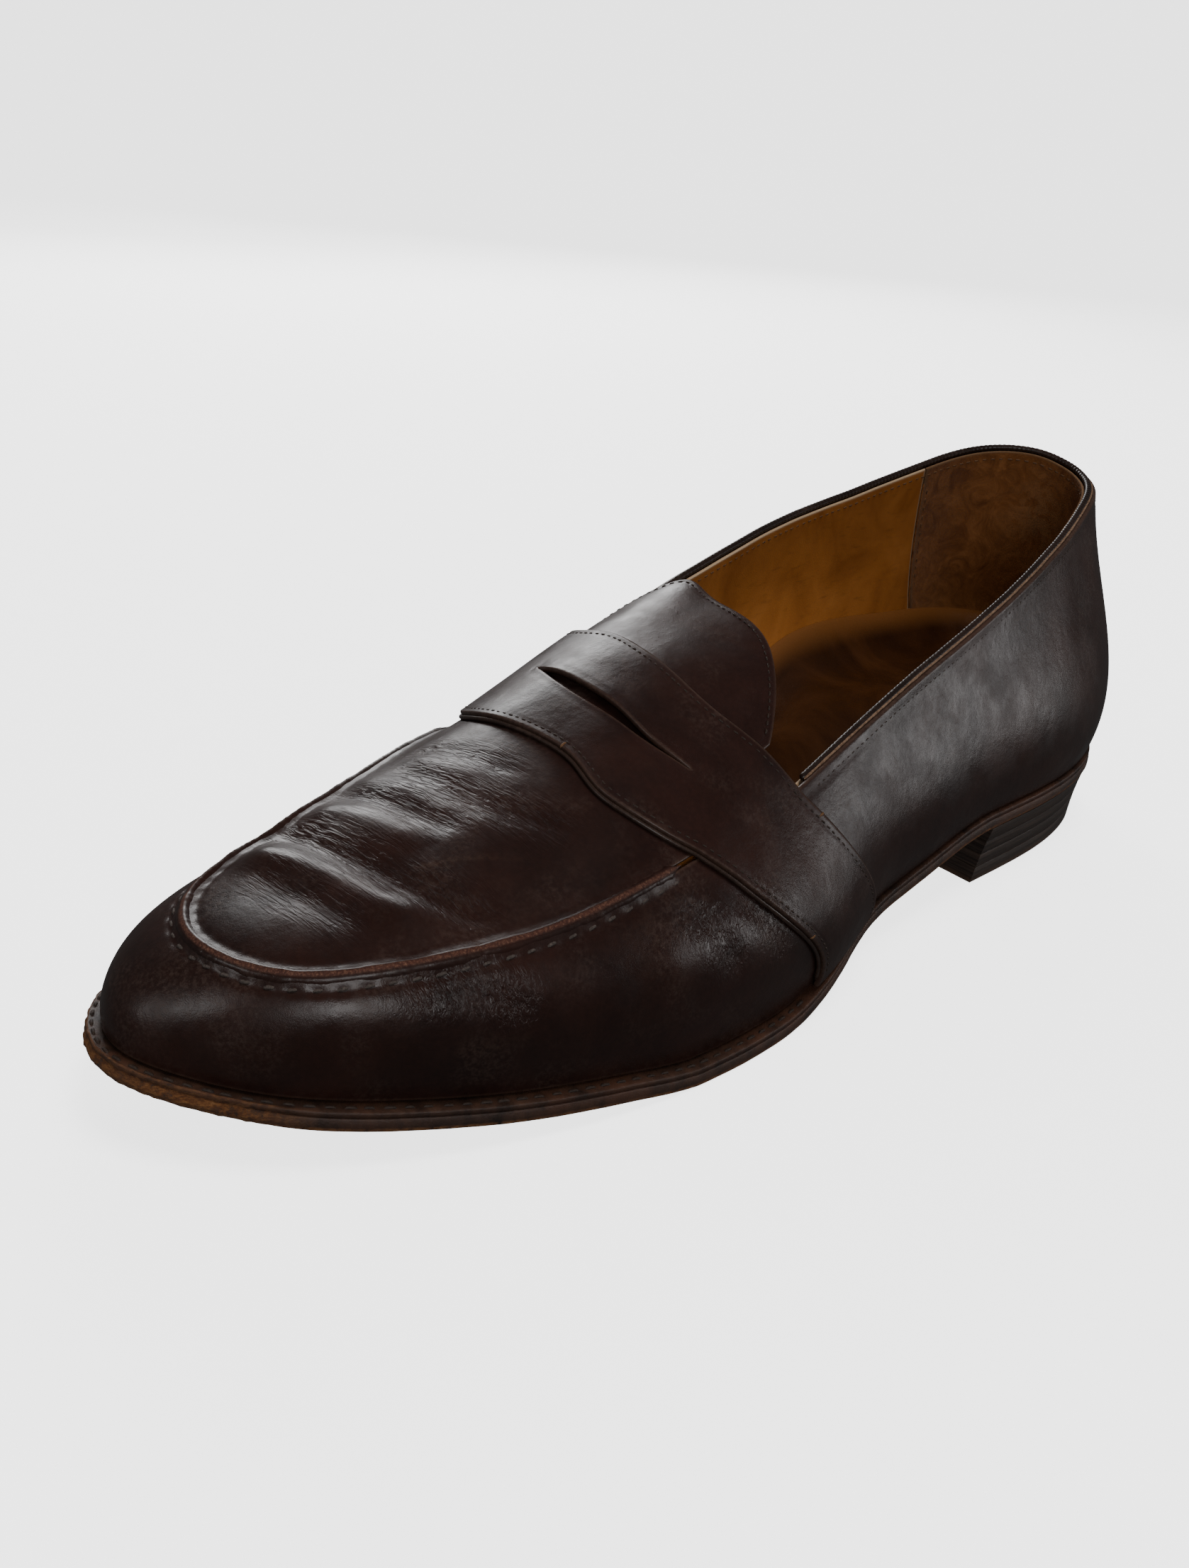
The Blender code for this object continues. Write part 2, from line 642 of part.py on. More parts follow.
def heel_outline(height):
    """Outline of the stacked heel at a height above the floor, in world points."""
    taper = HEEL_TAPER * (SOLE_UNDERSIDE[0][1] - height) / SOLE_UNDERSIDE[0][1]
    breast = HEEL_LENGTH - HEEL_SLANT * (SOLE_UNDERSIDE[0][1] - height) / SOLE_UNDERSIDE[0][1]
    turns = columns(-turn_of(HEEL_STATION), turn_of(HEEL_STATION))
    behind_breast = outline(turns, HEEL_INSET)[:, 1] < HEEL_LENGTH - BREAST_CORNER
    plan = outline(turns, HEEL_INSET + taper)[behind_breast]
    first = np.array([[plan[0, 0], breast]])
    last = np.array([[plan[-1, 0], breast]])
    middle = np.array([[0.0, breast - HEEL_HOLLOW]])
    plan = np.concatenate([first, plan, last, middle])
    return world(lifted(plan, np.full(len(plan), height)))


def make_heel(look):
    stack = SOLE_UNDERSIDE[0][1] - TOP_PIECE_THICKNESS - GAP
    thickness = stack / LIFT_COUNT - GAP
    top = SOLE_UNDERSIDE[0][1] - GAP
    lifts = []
    for number in range(1, LIFT_COUNT + 1):
        solid = prism(heel_outline(top), heel_outline(top - thickness))
        lifts.append(new_object(f"heel_lift_{number}", solid, look["sole"]))
        top -= thickness + GAP
    solid = prism(heel_outline(TOP_PIECE_THICKNESS), heel_outline(0.0))
    new_object("top_piece", solid, look["rubber"])
    return lifts


def turned(profile, centre, sides=NAIL_SIDES):
    """Closed solid of revolution about a vertical axis; profile runs top to bottom."""
    points = [(centre[0], centre[1], profile[0][1])]
    for radius, height in profile:
        for i in range(sides):
            angle = 2 * math.pi * i / sides
            points.append((centre[0] + radius * math.cos(angle),
                           centre[1] + radius * math.sin(angle), height))
    points.append((centre[0], centre[1], profile[-1][1]))
    faces = []
    for i in range(sides):
        after = (i + 1) % sides
        faces.append((0, 1 + i, 1 + after))
        for j in range(len(profile) - 1):
            a = 1 + j * sides
            b = a + sides
            faces.append((a + i, b + i, b + after, a + after))
        last = 1 + (len(profile) - 1) * sides
        faces.append((len(points) - 1, last + after, last + i))
    return points, faces


def nail_profile(top, clearance):
    """Half section of a heel nail, or of its hole with some clearance round it."""
    head = NAIL_HEAD_RADIUS + clearance
    body = NAIL_RADIUS + clearance
    under_head = top - NAIL_HEAD_THICKNESS - clearance
    above = clearance * 8
    return (
        (head, top + above), (head, under_head), (body, under_head),
        (body, NAIL_END - above),
    )


def make_nails(look, drilled):
    """Nails through the heel seat into the lifts, each in its own clearance hole."""
    top = SOLE_UNDERSIDE[0][1] + SOLE_THICKNESS
    points, faces = [], []
    for number, (out, reach) in enumerate(NAIL_PLACES, start=1):
        centre = world(np.array([out, reach, 0.0]))
        nail = turned(nail_profile(top - NAIL_SINK, 0.0), centre)
        new_object(f"heel_nail_{number}", nail, look["steel"])
        hole_points, hole_faces = turned(nail_profile(top, GAP), centre)
        faces += [tuple(i + len(points) for i in face) for face in hole_faces]
        points += hole_points
    cutter = new_object("nail_holes_cutter", (points, faces), look["steel"])
    cutter.hide_render = True
    cutter.display_type = "WIRE"
    for thing in drilled:
        cut = thing.modifiers.new("nail_holes", "BOOLEAN")
        cut.operation = "DIFFERENCE"
        cut.solver = "EXACT"
        cut.object = cutter


# ---------------------------------------------------------------- upper

def make_quarters(look):
    seam = BUTT / 2
    front = turn_of(STRAP_MIDDLE) - seam
    heights = rises(0.0, WALL_TOP, WALL_ROWS)
    lateral = patch(columns(seam, front), heights, OUTER_LEATHER)
    medial = patch(columns(2 - front, 2 - seam), heights, OUTER_LEATHER)
    new_object("quarter_lateral", lateral, look["calf"])
    new_object("quarter_medial", medial, look["calf"])
    tab_turns = columns(-TAB_HALF_TURN, TAB_HALF_TURN)
    tab = patch(tab_turns, rises(*TAB_RISES, WALL_ROWS), TAB_LEATHER)
    new_object("heel_tab", tab, look["calf"])


def bow(table, lanes):
    knots, values = zip(*table)
    return spline(knots, values)(np.clip(lanes, knots[0], knots[-1]))


def strap_rear(lanes):
    return turn_of(STRAP_REAR) + bow(STRAP_REAR_BOW, lanes)


def strap_front(lanes):
    return turn_of(STRAP_FRONT) + bow(STRAP_FRONT_BOW, lanes)


def slit_lips(lanes):
    """Turns of the slit's rear and front lips; beyond its ends both follow the strap's middle."""
    inside = np.clip(lanes, SLIT_LATERAL, SLIT_MEDIAL)
    past = np.abs(lanes - inside)
    line = turn_of(STRAP_MIDDLE) + bow(SLIT_BOW, inside) * np.exp(-(past / SLIT_FADE_LANE) ** 2)
    half = 0.5 * bow(SLIT_OPENING, inside)
    return line - half, line + half


def make_vamp(look):
    start = turn_of(STRAP_MIDDLE) + BUTT / 2
    wall = patch(columns(start, 2 - start), rises(0.0, WALL_TOP, WALL_ROWS), OUTER_LEATHER)
    new_object("mudguard", wall, look["calf"])
    rear = turn_of(STRAP_REAR) + BUTT / 2
    turn, rise = np.meshgrid(columns(rear, 2 - rear), rises(APRON_EDGE, 2.0, OVER_ROWS), indexing="ij")
    reach_in = np.clip((fold(turn) - rear) / (turn_of(STRAP_FRONT) - rear), 0, 1)
    outer_side = turn < 1
    follow = bow(STRAP_REAR_BOW, np.where(outer_side, rise - 2, 2 - rise)) * (1 - smooth(reach_in))
    turn = turn + np.where(outer_side, follow, -follow)
    plug = shell(layer(turn, rise, OUTER_LEATHER[0]), layer(turn, rise, OUTER_LEATHER[1]), joined_end=True)
    new_object("apron", plug, look["calf"])


def make_linings(look):
    front = turn_of(STRAP_MIDDLE)
    grip = turn_of(GRIP_STATION)
    heights = rises(0.0, WALL_TOP, WALL_ROWS)
    lateral = columns(grip + BUTT / 2, front - BUTT / 2)
    medial = columns(2 - front + BUTT / 2, 2 - grip - BUTT / 2)
    new_object("lining_lateral", patch(lateral, heights, LINING), look["tan"])
    new_object("lining_medial", patch(medial, heights, LINING), look["tan"])
    round_heel = columns(-grip + BUTT / 2, grip - BUTT / 2)
    new_object("heel_grip", patch(round_heel, heights, LINING), look["suede"])
    vamp = patch(columns(front + BUTT / 2, 2 - front - BUTT / 2),
                 rises(0.0, 2.0, WALL_ROWS + OVER_ROWS), LINING, joined_end=True)
    new_object("vamp_lining", vamp, look["tan"])


def make_stiffeners(look):
    back = turn_of(COUNTER_STATION)
    counter = patch(columns(-back, back), rises(*COUNTER_RISES, WALL_ROWS), STIFFENER)
    new_object("heel_counter", counter, look["stiffener"])
    side = turn_of(PUFF_STATION)
    puff = patch(columns(side, 2 - side), rises(*PUFF_RISES, WALL_ROWS + OVER_ROWS), STIFFENER)
    new_object("toe_puff", puff, look["stiffener"])


def make_strap(look):
    """Full saddle from welt to welt, open at the penny slit."""
    lanes = np.array(sorted({-(2 - row) for row in STRAP_ROWS} | {2 - row for row in STRAP_ROWS}
                            | {0.0, SLIT_LATERAL, SLIT_MEDIAL}))
    rear, front = strap_rear(lanes), strap_front(lanes)
    back_lip, front_lip = slit_lips(lanes)
    widths = np.stack([rear, (rear + back_lip) / 2, back_lip, front_lip, (front_lip + front) / 2, front])
    active = np.ones((len(widths) - 1, len(lanes) - 1), bool)
    inside = (lanes[:-1] > SLIT_LATERAL - 1e-6) & (lanes[1:] < SLIT_MEDIAL + 1e-6)
    active[2, inside] = False
    strap = across(widths, np.broadcast_to(lanes, widths.shape), STRAP_LEATHER, active=active)
    new_object("saddle_strap", strap, look["calf"])


def tongue_back(lanes):
    """Turn of the tongue's round rear edge."""
    half = (TONGUE_MEDIAL - TONGUE_LATERAL) / 2
    across_share = np.clip((lanes - TONGUE_LATERAL) / half - 1, -1, 1)
    edge = 1 - (1 - across_share ** 2) ** TONGUE_ROUNDING
    rear = turn_of(TONGUE_REAR_STATION)
    front = strap_rear(lanes) - BUTT / 2
    return rear + (front - rear) * TONGUE_CORNER_SHARE * edge


def tongue_grid():
    """Widths and lanes of the tongue, rounded at its rear corners."""
    lanes = np.linspace(TONGUE_LATERAL, TONGUE_MEDIAL, TONGUE_LANES)
    front = strap_rear(lanes) - BUTT / 2
    share = np.linspace(0, 1, TONGUE_ROWS)[:, None]
    widths = tongue_back(lanes) * (1 - share) + front * share
    return widths, np.broadcast_to(lanes, widths.shape)


def make_tongue(look):
    widths, lanes = tongue_grid()
    leather = new_object("tongue", across(widths, lanes, OUTER_LEATHER), look["calf"])
    lining = new_object("tongue_lining", across(widths, lanes, TONGUE_LINING), look["tan"])
    return leather, lining


# ---------------------------------------------------------------- edge strip and threads

def tube(name, points, radius, look, closed=False):
    """A thread or piping: a bevelled poly curve through world points."""
    data = bpy.data.curves.new(name, "CURVE")
    data.dimensions = "3D"
    data.bevel_depth = radius * MM
    data.bevel_resolution = 1
    data.use_fill_caps = True
    line = data.splines.new("POLY")
    line.points.add(len(points) - 1)
    for slot, point in zip(line.points, points):
        slot.co = (*(point * MM), 1.0)
    line.use_cyclic_u = closed
    data.materials.append(look)
    thing = bpy.data.objects.new(name, data)
    bpy.context.scene.collection.objects.link(thing)
    return thing


def make_edges(look):
    end = turn_of(STRAP_REAR) - PIPING_CLEARANCE_TURN
    turns = columns(-end, end)
    depth = (OUTER_LEATHER[1] + LINING[0]) / 2
    rim = layer(turns, np.full_like(turns, PIPING_RISE), depth)
    rim[:, 2] += PIPING_LIFT
    tube("topline_piping", rim, PIPING_RADIUS, look["calf"])
    start = turn_of(STRAP_FRONT) + THREAD_CLEARANCE_TURN
    turns = columns(start, 2 - start)
    seam = layer(turns, np.full_like(turns, THREAD_RISE), -THREAD_RADIUS - GAP)
    tube("apron_seam_thread", seam, THREAD_RADIUS, look["thread"])
    plan = outline(turns, WELT_INSET + WELT_THREAD_INSET)
    stitch = world(lifted(plan, welt_top(plan[:, 1]) + GAP + WELT_THREAD_RADIUS))
    tube("welt_stitch_thread", stitch, WELT_THREAD_RADIUS, look["thread"])


# ---------------------------------------------------------------- assembly

def world_box(things):
    """Lowest and highest corners of the mesh pieces, in metres."""
    corners = np.array([vertex.co for thing in things for vertex in thing.data.vertices])
    return corners.min(0), corners.max(0)


def settle(hinged):
    """Move every piece so that the middle of the box stands over the origin."""
    things = list(bpy.context.scene.objects)
    solid = [thing for thing in things if thing.type == "MESH" and not thing.hide_render]
    low, high = world_box(solid)
    shift = Vector((-(low[0] + high[0]) / 2, -(low[1] + high[1]) / 2, 0.0))
    for thing in things:
        thing.location = shift
    pivot = Vector(tuple(float(c) * MM for c in world(np.array(TONGUE_AXIS))))
    for thing in hinged:
        thing.data.transform(Matrix.Translation(-pivot))
        thing.location = shift + pivot


def main():
    for thing in list(bpy.data.objects):
        bpy.data.objects.remove(thing, do_unlink=True)
    look = palette()
    make_outsole(look)
    make_welt(look)
    make_footbed(look)
    make_filler(look)
    make_shank(look)
    lifts = make_heel(look)
    make_nails(look, [bpy.data.objects["outsole"], *lifts])
    make_quarters(look)
    make_vamp(look)
    make_linings(look)
    make_stiffeners(look)
    make_strap(look)
    hinged = make_tongue(look)
    make_edges(look)
    settle(hinged)


if __name__ == "__main__":
    main()
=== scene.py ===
"""Looks of the penny loafer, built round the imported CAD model.

The upper's pieces follow the same last surface as the CAD, P(turn, rise), with
the folds of a worn shoe added.  `turn` runs once round the shoe from the heel's
back, 0, over the outer side to the toe, 1, and back over the inner side to 2.
`rise` is 0 at the feather edge, 1 on the shoulder line (topline and apron seam)
and 2 on the ridge of the instep.  Tables are in millimetres; `reach` is
measured from the heel's back towards the toe.
"""

import math

import bmesh
import bpy
import numpy as np
from mathutils import Matrix, Vector, kdtree

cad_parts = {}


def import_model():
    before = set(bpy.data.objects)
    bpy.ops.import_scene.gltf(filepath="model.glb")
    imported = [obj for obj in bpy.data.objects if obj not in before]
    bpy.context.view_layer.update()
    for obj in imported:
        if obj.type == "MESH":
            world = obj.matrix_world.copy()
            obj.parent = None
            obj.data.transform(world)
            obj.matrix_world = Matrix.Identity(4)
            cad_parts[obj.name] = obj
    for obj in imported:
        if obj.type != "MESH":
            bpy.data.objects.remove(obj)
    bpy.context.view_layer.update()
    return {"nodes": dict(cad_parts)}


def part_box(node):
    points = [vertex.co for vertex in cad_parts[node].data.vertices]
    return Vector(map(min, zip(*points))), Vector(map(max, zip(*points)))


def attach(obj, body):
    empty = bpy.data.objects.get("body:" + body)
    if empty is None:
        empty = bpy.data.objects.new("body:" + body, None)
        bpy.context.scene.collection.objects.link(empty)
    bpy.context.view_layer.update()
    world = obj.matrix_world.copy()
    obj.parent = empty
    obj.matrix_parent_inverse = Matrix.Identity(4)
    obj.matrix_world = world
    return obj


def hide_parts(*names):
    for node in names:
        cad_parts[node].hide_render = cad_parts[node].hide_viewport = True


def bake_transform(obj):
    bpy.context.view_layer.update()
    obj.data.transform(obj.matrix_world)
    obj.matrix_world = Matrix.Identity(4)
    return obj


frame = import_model()

MM = 0.001
HALF_LENGTH = 150.0

# Height of the sole's underside along the reach: heel seat, shank, tread, toe spring.
SOLE_UNDERSIDE = (
    (-4, 15.4), (30, 15.4), (60, 15.4), (82, 15.4), (95, 13.9), (107, 11.6),
    (120, 9.0), (135, 6.1), (150, 3.5), (163, 1.4), (174, 0.1), (188, 0.0),
    (203, 0.1), (216, 1.8), (236, 3.7), (256, 5.8), (276, 8.3), (297, 12.2),
)
HEEL_SEAT_END = 82.0
TREAD_START = 175.0
TREAD_END = 203.0

SOLE_THICKNESS = 2.8
WELT_THICKNESS = 1.0
INSOLE_THICKNESS = 2.2
SOCK_THICKNESS = 0.8
GAP = 0.35
PAD_THICKNESS = 11.0
PAD_THIN = 0.4
PAD_FULL_REACH = 85.0
PAD_SLOPE = 50.0
SOCK_DROP_REACH = 138.0
SOCK_DROP_LENGTH = 14.0

# Stations from the heel's back to the toe.  Each row: feather out, feather
# reach, shoulder out, shoulder reach, shoulder height, then in degrees the lean
# out at the feather, the lean in at the shoulder and the climb of the instep
# from the shoulder, and last the ledge of sole outside the feather.
LATERAL = (
    (0.0, 1.0, -2.0, 5.3, 89.8, 20, 8, 82, 1.0),
    (14.0, 5.0, 6.0, 8.6, 88.3, 18, 8, 82, 1.0),
    (25.2, 15.0, 13.4, 17.6, 86.4, 17, 9, 81, 1.0),
    (32.8, 33.0, 19.6, 35.0, 82.0, 18, 10, 80, 1.0),
    (36.0, 62.0, 25.0, 62.0, 74.3, 18, 11, 79, 1.0),
    (36.0, 91.0, 28.3, 95.0, 65.0, 20, 12, 78, 1.0),
    (36.5, 113.0, 31.0, 131.0, 55.5, 22, 18, 62, 1.0),
    (37.5, 132.5, 33.5, 161.0, 47.0, 20, 34, 56, 1.2),
    (42.0, 149.5, 35.3, 179.0, 44.0, 18, 40, 50, 1.8),
    (45.5, 166.0, 36.5, 197.5, 42.0, 15, 46, 43, 2.6),
    (46.8, 190.0, 37.0, 210.5, 40.8, 13, 48, 36, 3.0),
    (44.5, 213.0, 35.5, 224.5, 38.3, 12, 52, 30, 3.0),
    (38.8, 235.0, 31.5, 240.5, 36.2, 11, 55, 27, 3.0),
    (30.0, 256.0, 24.5, 258.0, 34.7, 10, 57, 26, 3.0),
    (18.5, 274.5, 15.0, 271.3, 33.5, 8, 60, 26, 3.0),
    (5.0, 286.5, 3.0, 276.8, 33.0, 6, 62, 25, 3.1),
    (-7.5, 291.2, -7.5, 276.8, 33.0, 5, 63, 25, 3.2),
)
MEDIAL = (
    (0.0, 1.0, -2.0, 5.3, 89.8, 20, 8, 82, 1.0),
    (-14.0, 4.5, -12.5, 6.0, 91.0, 20, 8, 82, 1.0),
    (-25.0, 14.5, -24.0, 14.5, 90.0, 22, 9, 81, 1.0),
    (-29.8, 33.0, -31.0, 33.0, 86.0, 22, 8, 82, 1.0),
    (-28.5, 62.0, -35.0, 61.0, 80.0, 26, 8, 82, 1.0),
    (-24.5, 90.0, -36.0, 92.0, 75.0, 32, 9, 81, 1.0),
    (-24.0, 113.0, -35.0, 124.0, 67.5, 34, 12, 46, 1.0),
    (-26.5, 134.0, -36.8, 153.0, 56.5, 32, 24, 44, 1.2),
    (-32.0, 152.0, -37.5, 172.0, 48.5, 26, 34, 44, 1.8),
    (-38.5, 170.0, -37.8, 189.0, 42.3, 20, 42, 40, 2.6),
    (-43.5, 190.0, -36.0, 204.0, 41.0, 15, 46, 36, 3.0),
    (-43.8, 212.0, -31.8, 219.0, 40.0, 12, 50, 31, 3.0),
    (-42.3, 233.0, -27.8, 234.0, 38.7, 11, 54, 27, 3.0),
    (-39.0, 253.0, -25.2, 249.0, 36.3, 10, 57, 26, 3.0),
    (-32.5, 272.0, -22.0, 262.5, 34.2, 8, 60, 26, 3.0),
    (-20.5, 286.5, -16.2, 272.0, 33.2, 6, 62, 25, 3.1),
    (-7.5, 291.2, -7.5, 276.8, 33.0, 5, 63, 25, 3.2),
)
# Ridge of the instep: out, reach, height, and the reach where each station's
# section crosses it.  The sections round the toe all end at the pole.
RIDGE = (
    (-9.0, 120.0, 74.0), (-8.0, 143.0, 70.3), (-3.0, 171.0, 65.2), (-1.0, 187.0, 60.3),
    (0.0, 202.0, 54.3), (0.0, 217.0, 49.3), (-1.0, 231.0, 45.0), (-2.5, 243.0, 41.8),
    (-4.5, 257.0, 38.3), (-6.0, 270.0, 35.5),
)
RIDGE_POLE = 257.0
FIRST_CROSSING = 4
CROSSINGS = (96.0, 120.0, 143.0, 171.0, 187.0, 202.0, 217.0, 231.0, 243.0, 252.0, 257.5, 259.0, 259.0)

# Stations that pieces start or end on.
TONGUE_STATION = 6
STRAP_REAR = 7
STRAP_MIDDLE = 8
STRAP_FRONT = 9
PUFF_STATION = 12
POLE_STATION = 13.9

# Share of a section's length that its bezier handles take.
HANDLE = 0.38
# Where sections turn from crossing the ridge to entering the pole, as turns.
POLE_BLEND_START = 0.07
POLE_BLEND = 0.08
# Rises where normals stop being measured and start to follow the ridge.
MEASURED_RISE = 1.985
RIDGE_RISE = 1.9

# Gap between pieces that butt, as a turn.
BUTT = 0.0014
# How far the strap's edges bow towards the toe from their stations, as lane and turn.
STRAP_REAR_BOW = (
    (-2.0, 0.018), (-1.6, 0.014), (-1.38, 0.004), (-1.15, 0.0005), (-0.95, 0.009), (-0.75, 0.0135),
    (-0.5, 0.0155), (-0.25, 0.008), (0.0, 0.001), (0.15, 0.001), (0.3, 0.006), (0.55, 0.018),
    (0.8, 0.017), (0.98, 0.008), (1.15, 0.0005), (1.38, 0.004), (1.6, 0.014), (2.0, 0.018),
)
STRAP_FRONT_BOW = (
    (-2.0, -0.008), (-1.5, -0.012), (-1.2, -0.018), (-1.05, -0.012), (-0.92, 0.002), (-0.7, 0.018),
    (-0.5, 0.0195), (-0.25, 0.004), (-0.05, 0.0), (0.12, 0.003), (0.34, 0.0115), (0.58, 0.019),
    (0.75, 0.016), (0.92, 0.003), (1.05, -0.01), (1.2, -0.018), (1.5, -0.012), (2.0, -0.008),
)
# Penny slit: its ends as lanes, the bow of its line and its full opening as a turn.
SLIT_LATERAL = -0.65
SLIT_MEDIAL = 0.47
SLIT_BOW = ((-0.65, 0.0135), (-0.4, 0.0145), (-0.2, 0.0095), (0.0, 0.007), (0.2, 0.0072), (0.47, 0.0088))
SLIT_FADE_LANE = 0.25
SLIT_OPENING = ((-0.65, 0.001), (-0.4, 0.0024), (-0.2, 0.0064), (0.05, 0.0083), (0.28, 0.0062), (0.47, 0.001))

TONGUE_ROUNDING = 0.9
TONGUE_CORNER_SHARE = 0.9
TONGUE_LATERAL = -0.78
TONGUE_MEDIAL = 0.96
TONGUE_REAR_STATION = 5.95


# ---------------------------------------------------------------- curves

def unit(vectors, least=0.0):
    """Vectors scaled to length 1; `least` keeps a zero vector from dividing by 0."""
    return vectors / (np.linalg.norm(vectors, axis=-1, keepdims=True) + least)


def arc_length(points):
    """Length of a path up to each of its points."""
    return np.concatenate([[0], np.cumsum(np.linalg.norm(np.diff(points, axis=0), axis=-1))])


def spline(knots, values, period=None):
    """A C2 cubic through the values, natural at its ends or closed."""
    knots = np.asarray(knots, float)
    values = np.asarray(values, float)
    if period is not None:
        knots = np.append(knots, knots[0] + period)
        values = np.concatenate([values, values[:1]])
    count = len(knots)
    step = np.diff(knots)
    flat = values.reshape(count, -1)
    matrix = np.zeros((count, count))
    right = np.zeros((count, flat.shape[1]))
    slope = np.diff(flat, axis=0) / step[:, None]
    for i in range(1, count - 1):
        matrix[i, i - 1] = step[i - 1]
        matrix[i, i] = 2 * (step[i - 1] + step[i])
        matrix[i, i + 1] = step[i]
        right[i] = 6 * (slope[i] - slope[i - 1])
    if period is None:
        matrix[0, 0] = matrix[-1, -1] = 1
    else:
        matrix[0, 0] = 2 * (step[0] + step[-1])
        matrix[0, 1] = step[0]
        matrix[0, -2] = step[-1]
        right[0] = 6 * (slope[0] - slope[-1])
        matrix[-1, 0] = 1
        matrix[-1, -1] = -1
    bend = np.linalg.solve(matrix, right)

    def curve(at):
        at = np.asarray(at, float)
        place = at if period is None else knots[0] + np.mod(at - knots[0], period)
        i = np.clip(np.searchsorted(knots, place, side="right") - 1, 0, count - 2)
        width = step[i][..., None]
        b = (place - knots[i])[..., None] / width
        a = 1 - b
        out = a * flat[i] + b * flat[i + 1]
        out = out + ((a ** 3 - a) * bend[i] + (b ** 3 - b) * bend[i + 1]) * width ** 2 / 6
        return out[..., 0] if values.ndim == 1 else out

    return curve


def station_turns():
    """The turn of each station, spaced by the feather edge's mean length."""
    lateral = np.array(LATERAL)[:, :2]
    medial = np.array(MEDIAL)[:, :2]
    steps = [
        np.linalg.norm(lateral[i + 1] - lateral[i]) + np.linalg.norm(medial[i + 1] - medial[i])
        for i in range(len(LATERAL) - 1)
    ]
    total = np.concatenate([[0], np.cumsum(steps)])
    return total / total[-1]


TURNS = station_turns()
LOOP_KNOTS = np.concatenate([TURNS, 2 - TURNS[-2:0:-1]])
LOOP_ROWS = np.concatenate([np.array(LATERAL), np.array(MEDIAL)[-2:0:-1]])

loop_curve = spline(LOOP_KNOTS, LOOP_ROWS, period=2.0)
crossing_curve = spline(TURNS[FIRST_CROSSING:], CROSSINGS)
ridge_curve = spline([row[1] for row in RIDGE], [(row[0], row[2]) for row in RIDGE])
underside_curve = spline([row[0] for row in SOLE_UNDERSIDE], [row[1] for row in SOLE_UNDERSIDE])


def turn_of(station):
    """The turn at a station number on the lateral side, fractions allowed."""
    return float(np.interp(station, np.arange(len(TURNS)), TURNS))


def fold(turn):
    """Distance of a turn from the heel's back, the same on both sides."""
    turn = np.mod(turn, 2.0)
    return np.minimum(turn, 2.0 - turn)


def underside(reach):
    """Height of the sole's underside, flat at the heel seat and the tread."""
    height = np.maximum(underside_curve(reach), 0.0)
    height = np.where(reach < HEEL_SEAT_END, SOLE_UNDERSIDE[0][1], height)
    return np.where((reach > TREAD_START) & (reach < TREAD_END), 0.0, height)


def welt_top(reach):
    return underside(reach) + SOLE_THICKNESS + GAP + WELT_THICKNESS


def plan_normal(turn):
    """Horizontal outward normal of the feather edge, as (out, reach)."""
    step = 0.002
    along = loop_curve(turn + step)[..., :2] - loop_curve(turn - step)[..., :2]
    return unit(np.stack([along[..., 1], -along[..., 0]], -1))


def smooth(x):
    x = np.clip(x, 0, 1)
    return x * x * (3 - 2 * x)


def bezier(points, t):
    a, b, c, d = points
    t = t[..., None]
    return (1 - t) ** 3 * a + 3 * (1 - t) ** 2 * t * b + 3 * (1 - t) * t * t * c + t ** 3 * d


def lifted(plan, height):
    return np.concatenate([plan, height[..., None]], -1)


def ridge_point(turn):
    """The point on the ridge that a section ends on, and the ridge's slope there."""
    place = np.maximum(fold(turn), TURNS[FIRST_CROSSING])
    reach = np.minimum(crossing_curve(place), RIDGE_POLE)
    at = ridge_curve(reach)
    slope = ridge_curve(reach + 0.5)[..., 1] - ridge_curve(reach - 0.5)[..., 1]
    return np.stack([at[..., 0], reach, at[..., 1]], -1), slope


def crossing(turn, shoulder, ridge, slope):
    """Unit direction in which a section crosses the ridge or enters the pole."""
    other = loop_curve(2 - np.mod(turn, 2.0))[..., 2:4]
    across = unit(other - shoulder[..., :2], 1e-9)
    inward = unit(ridge[..., :2] - shoulder[..., :2], 1e-9)
    mix = smooth((fold(turn) - turn_of(POLE_STATION) + POLE_BLEND_START) / POLE_BLEND)[..., None]
    plan = unit(across * (1 - mix) + inward * mix, 1e-9)
    return unit(lifted(plan, slope * plan[..., 1]))


def last_point(turn, rise):
    """Points (out, reach, height) of the outer leather's face."""
    turn, rise = np.broadcast_arrays(np.asarray(turn, float), np.asarray(rise, float))
    row = loop_curve(turn)
    lean = np.radians(row[..., 5:8])
    normal = plan_normal(turn)
    feather = lifted(row[..., :2], welt_top(row[..., 1]) + GAP)
    shoulder = row[..., 2:5]
    length = np.linalg.norm(shoulder - feather, axis=-1)[..., None]
    lean_out = lifted(normal * np.sin(lean[..., :1]), np.cos(lean[..., 0]))
    lean_in = lifted(-normal * np.sin(lean[..., 1:2]), np.cos(lean[..., 1]))
    wall = bezier(
        (feather, feather + HANDLE * length * lean_out,
         shoulder - HANDLE * length * lean_in, shoulder),
        np.minimum(rise, 1.0) if rise.max() > 1.001 else rise,
    )
    if rise.max() <= 1.001:
        return wall
    ridge, slope = ridge_point(turn)
    width = np.linalg.norm(ridge - shoulder, axis=-1)[..., None]
    climb = lifted(-normal * np.cos(lean[..., 2:3]), np.sin(lean[..., 2]))
    over = bezier(
        (shoulder, shoulder + HANDLE * width * climb,
         ridge - HANDLE * width * crossing(turn, shoulder, ridge, slope), ridge),
        np.maximum(rise - 1.0, 0.0),
    )
    return np.where(rise[..., None] > 1.0, over, wall)


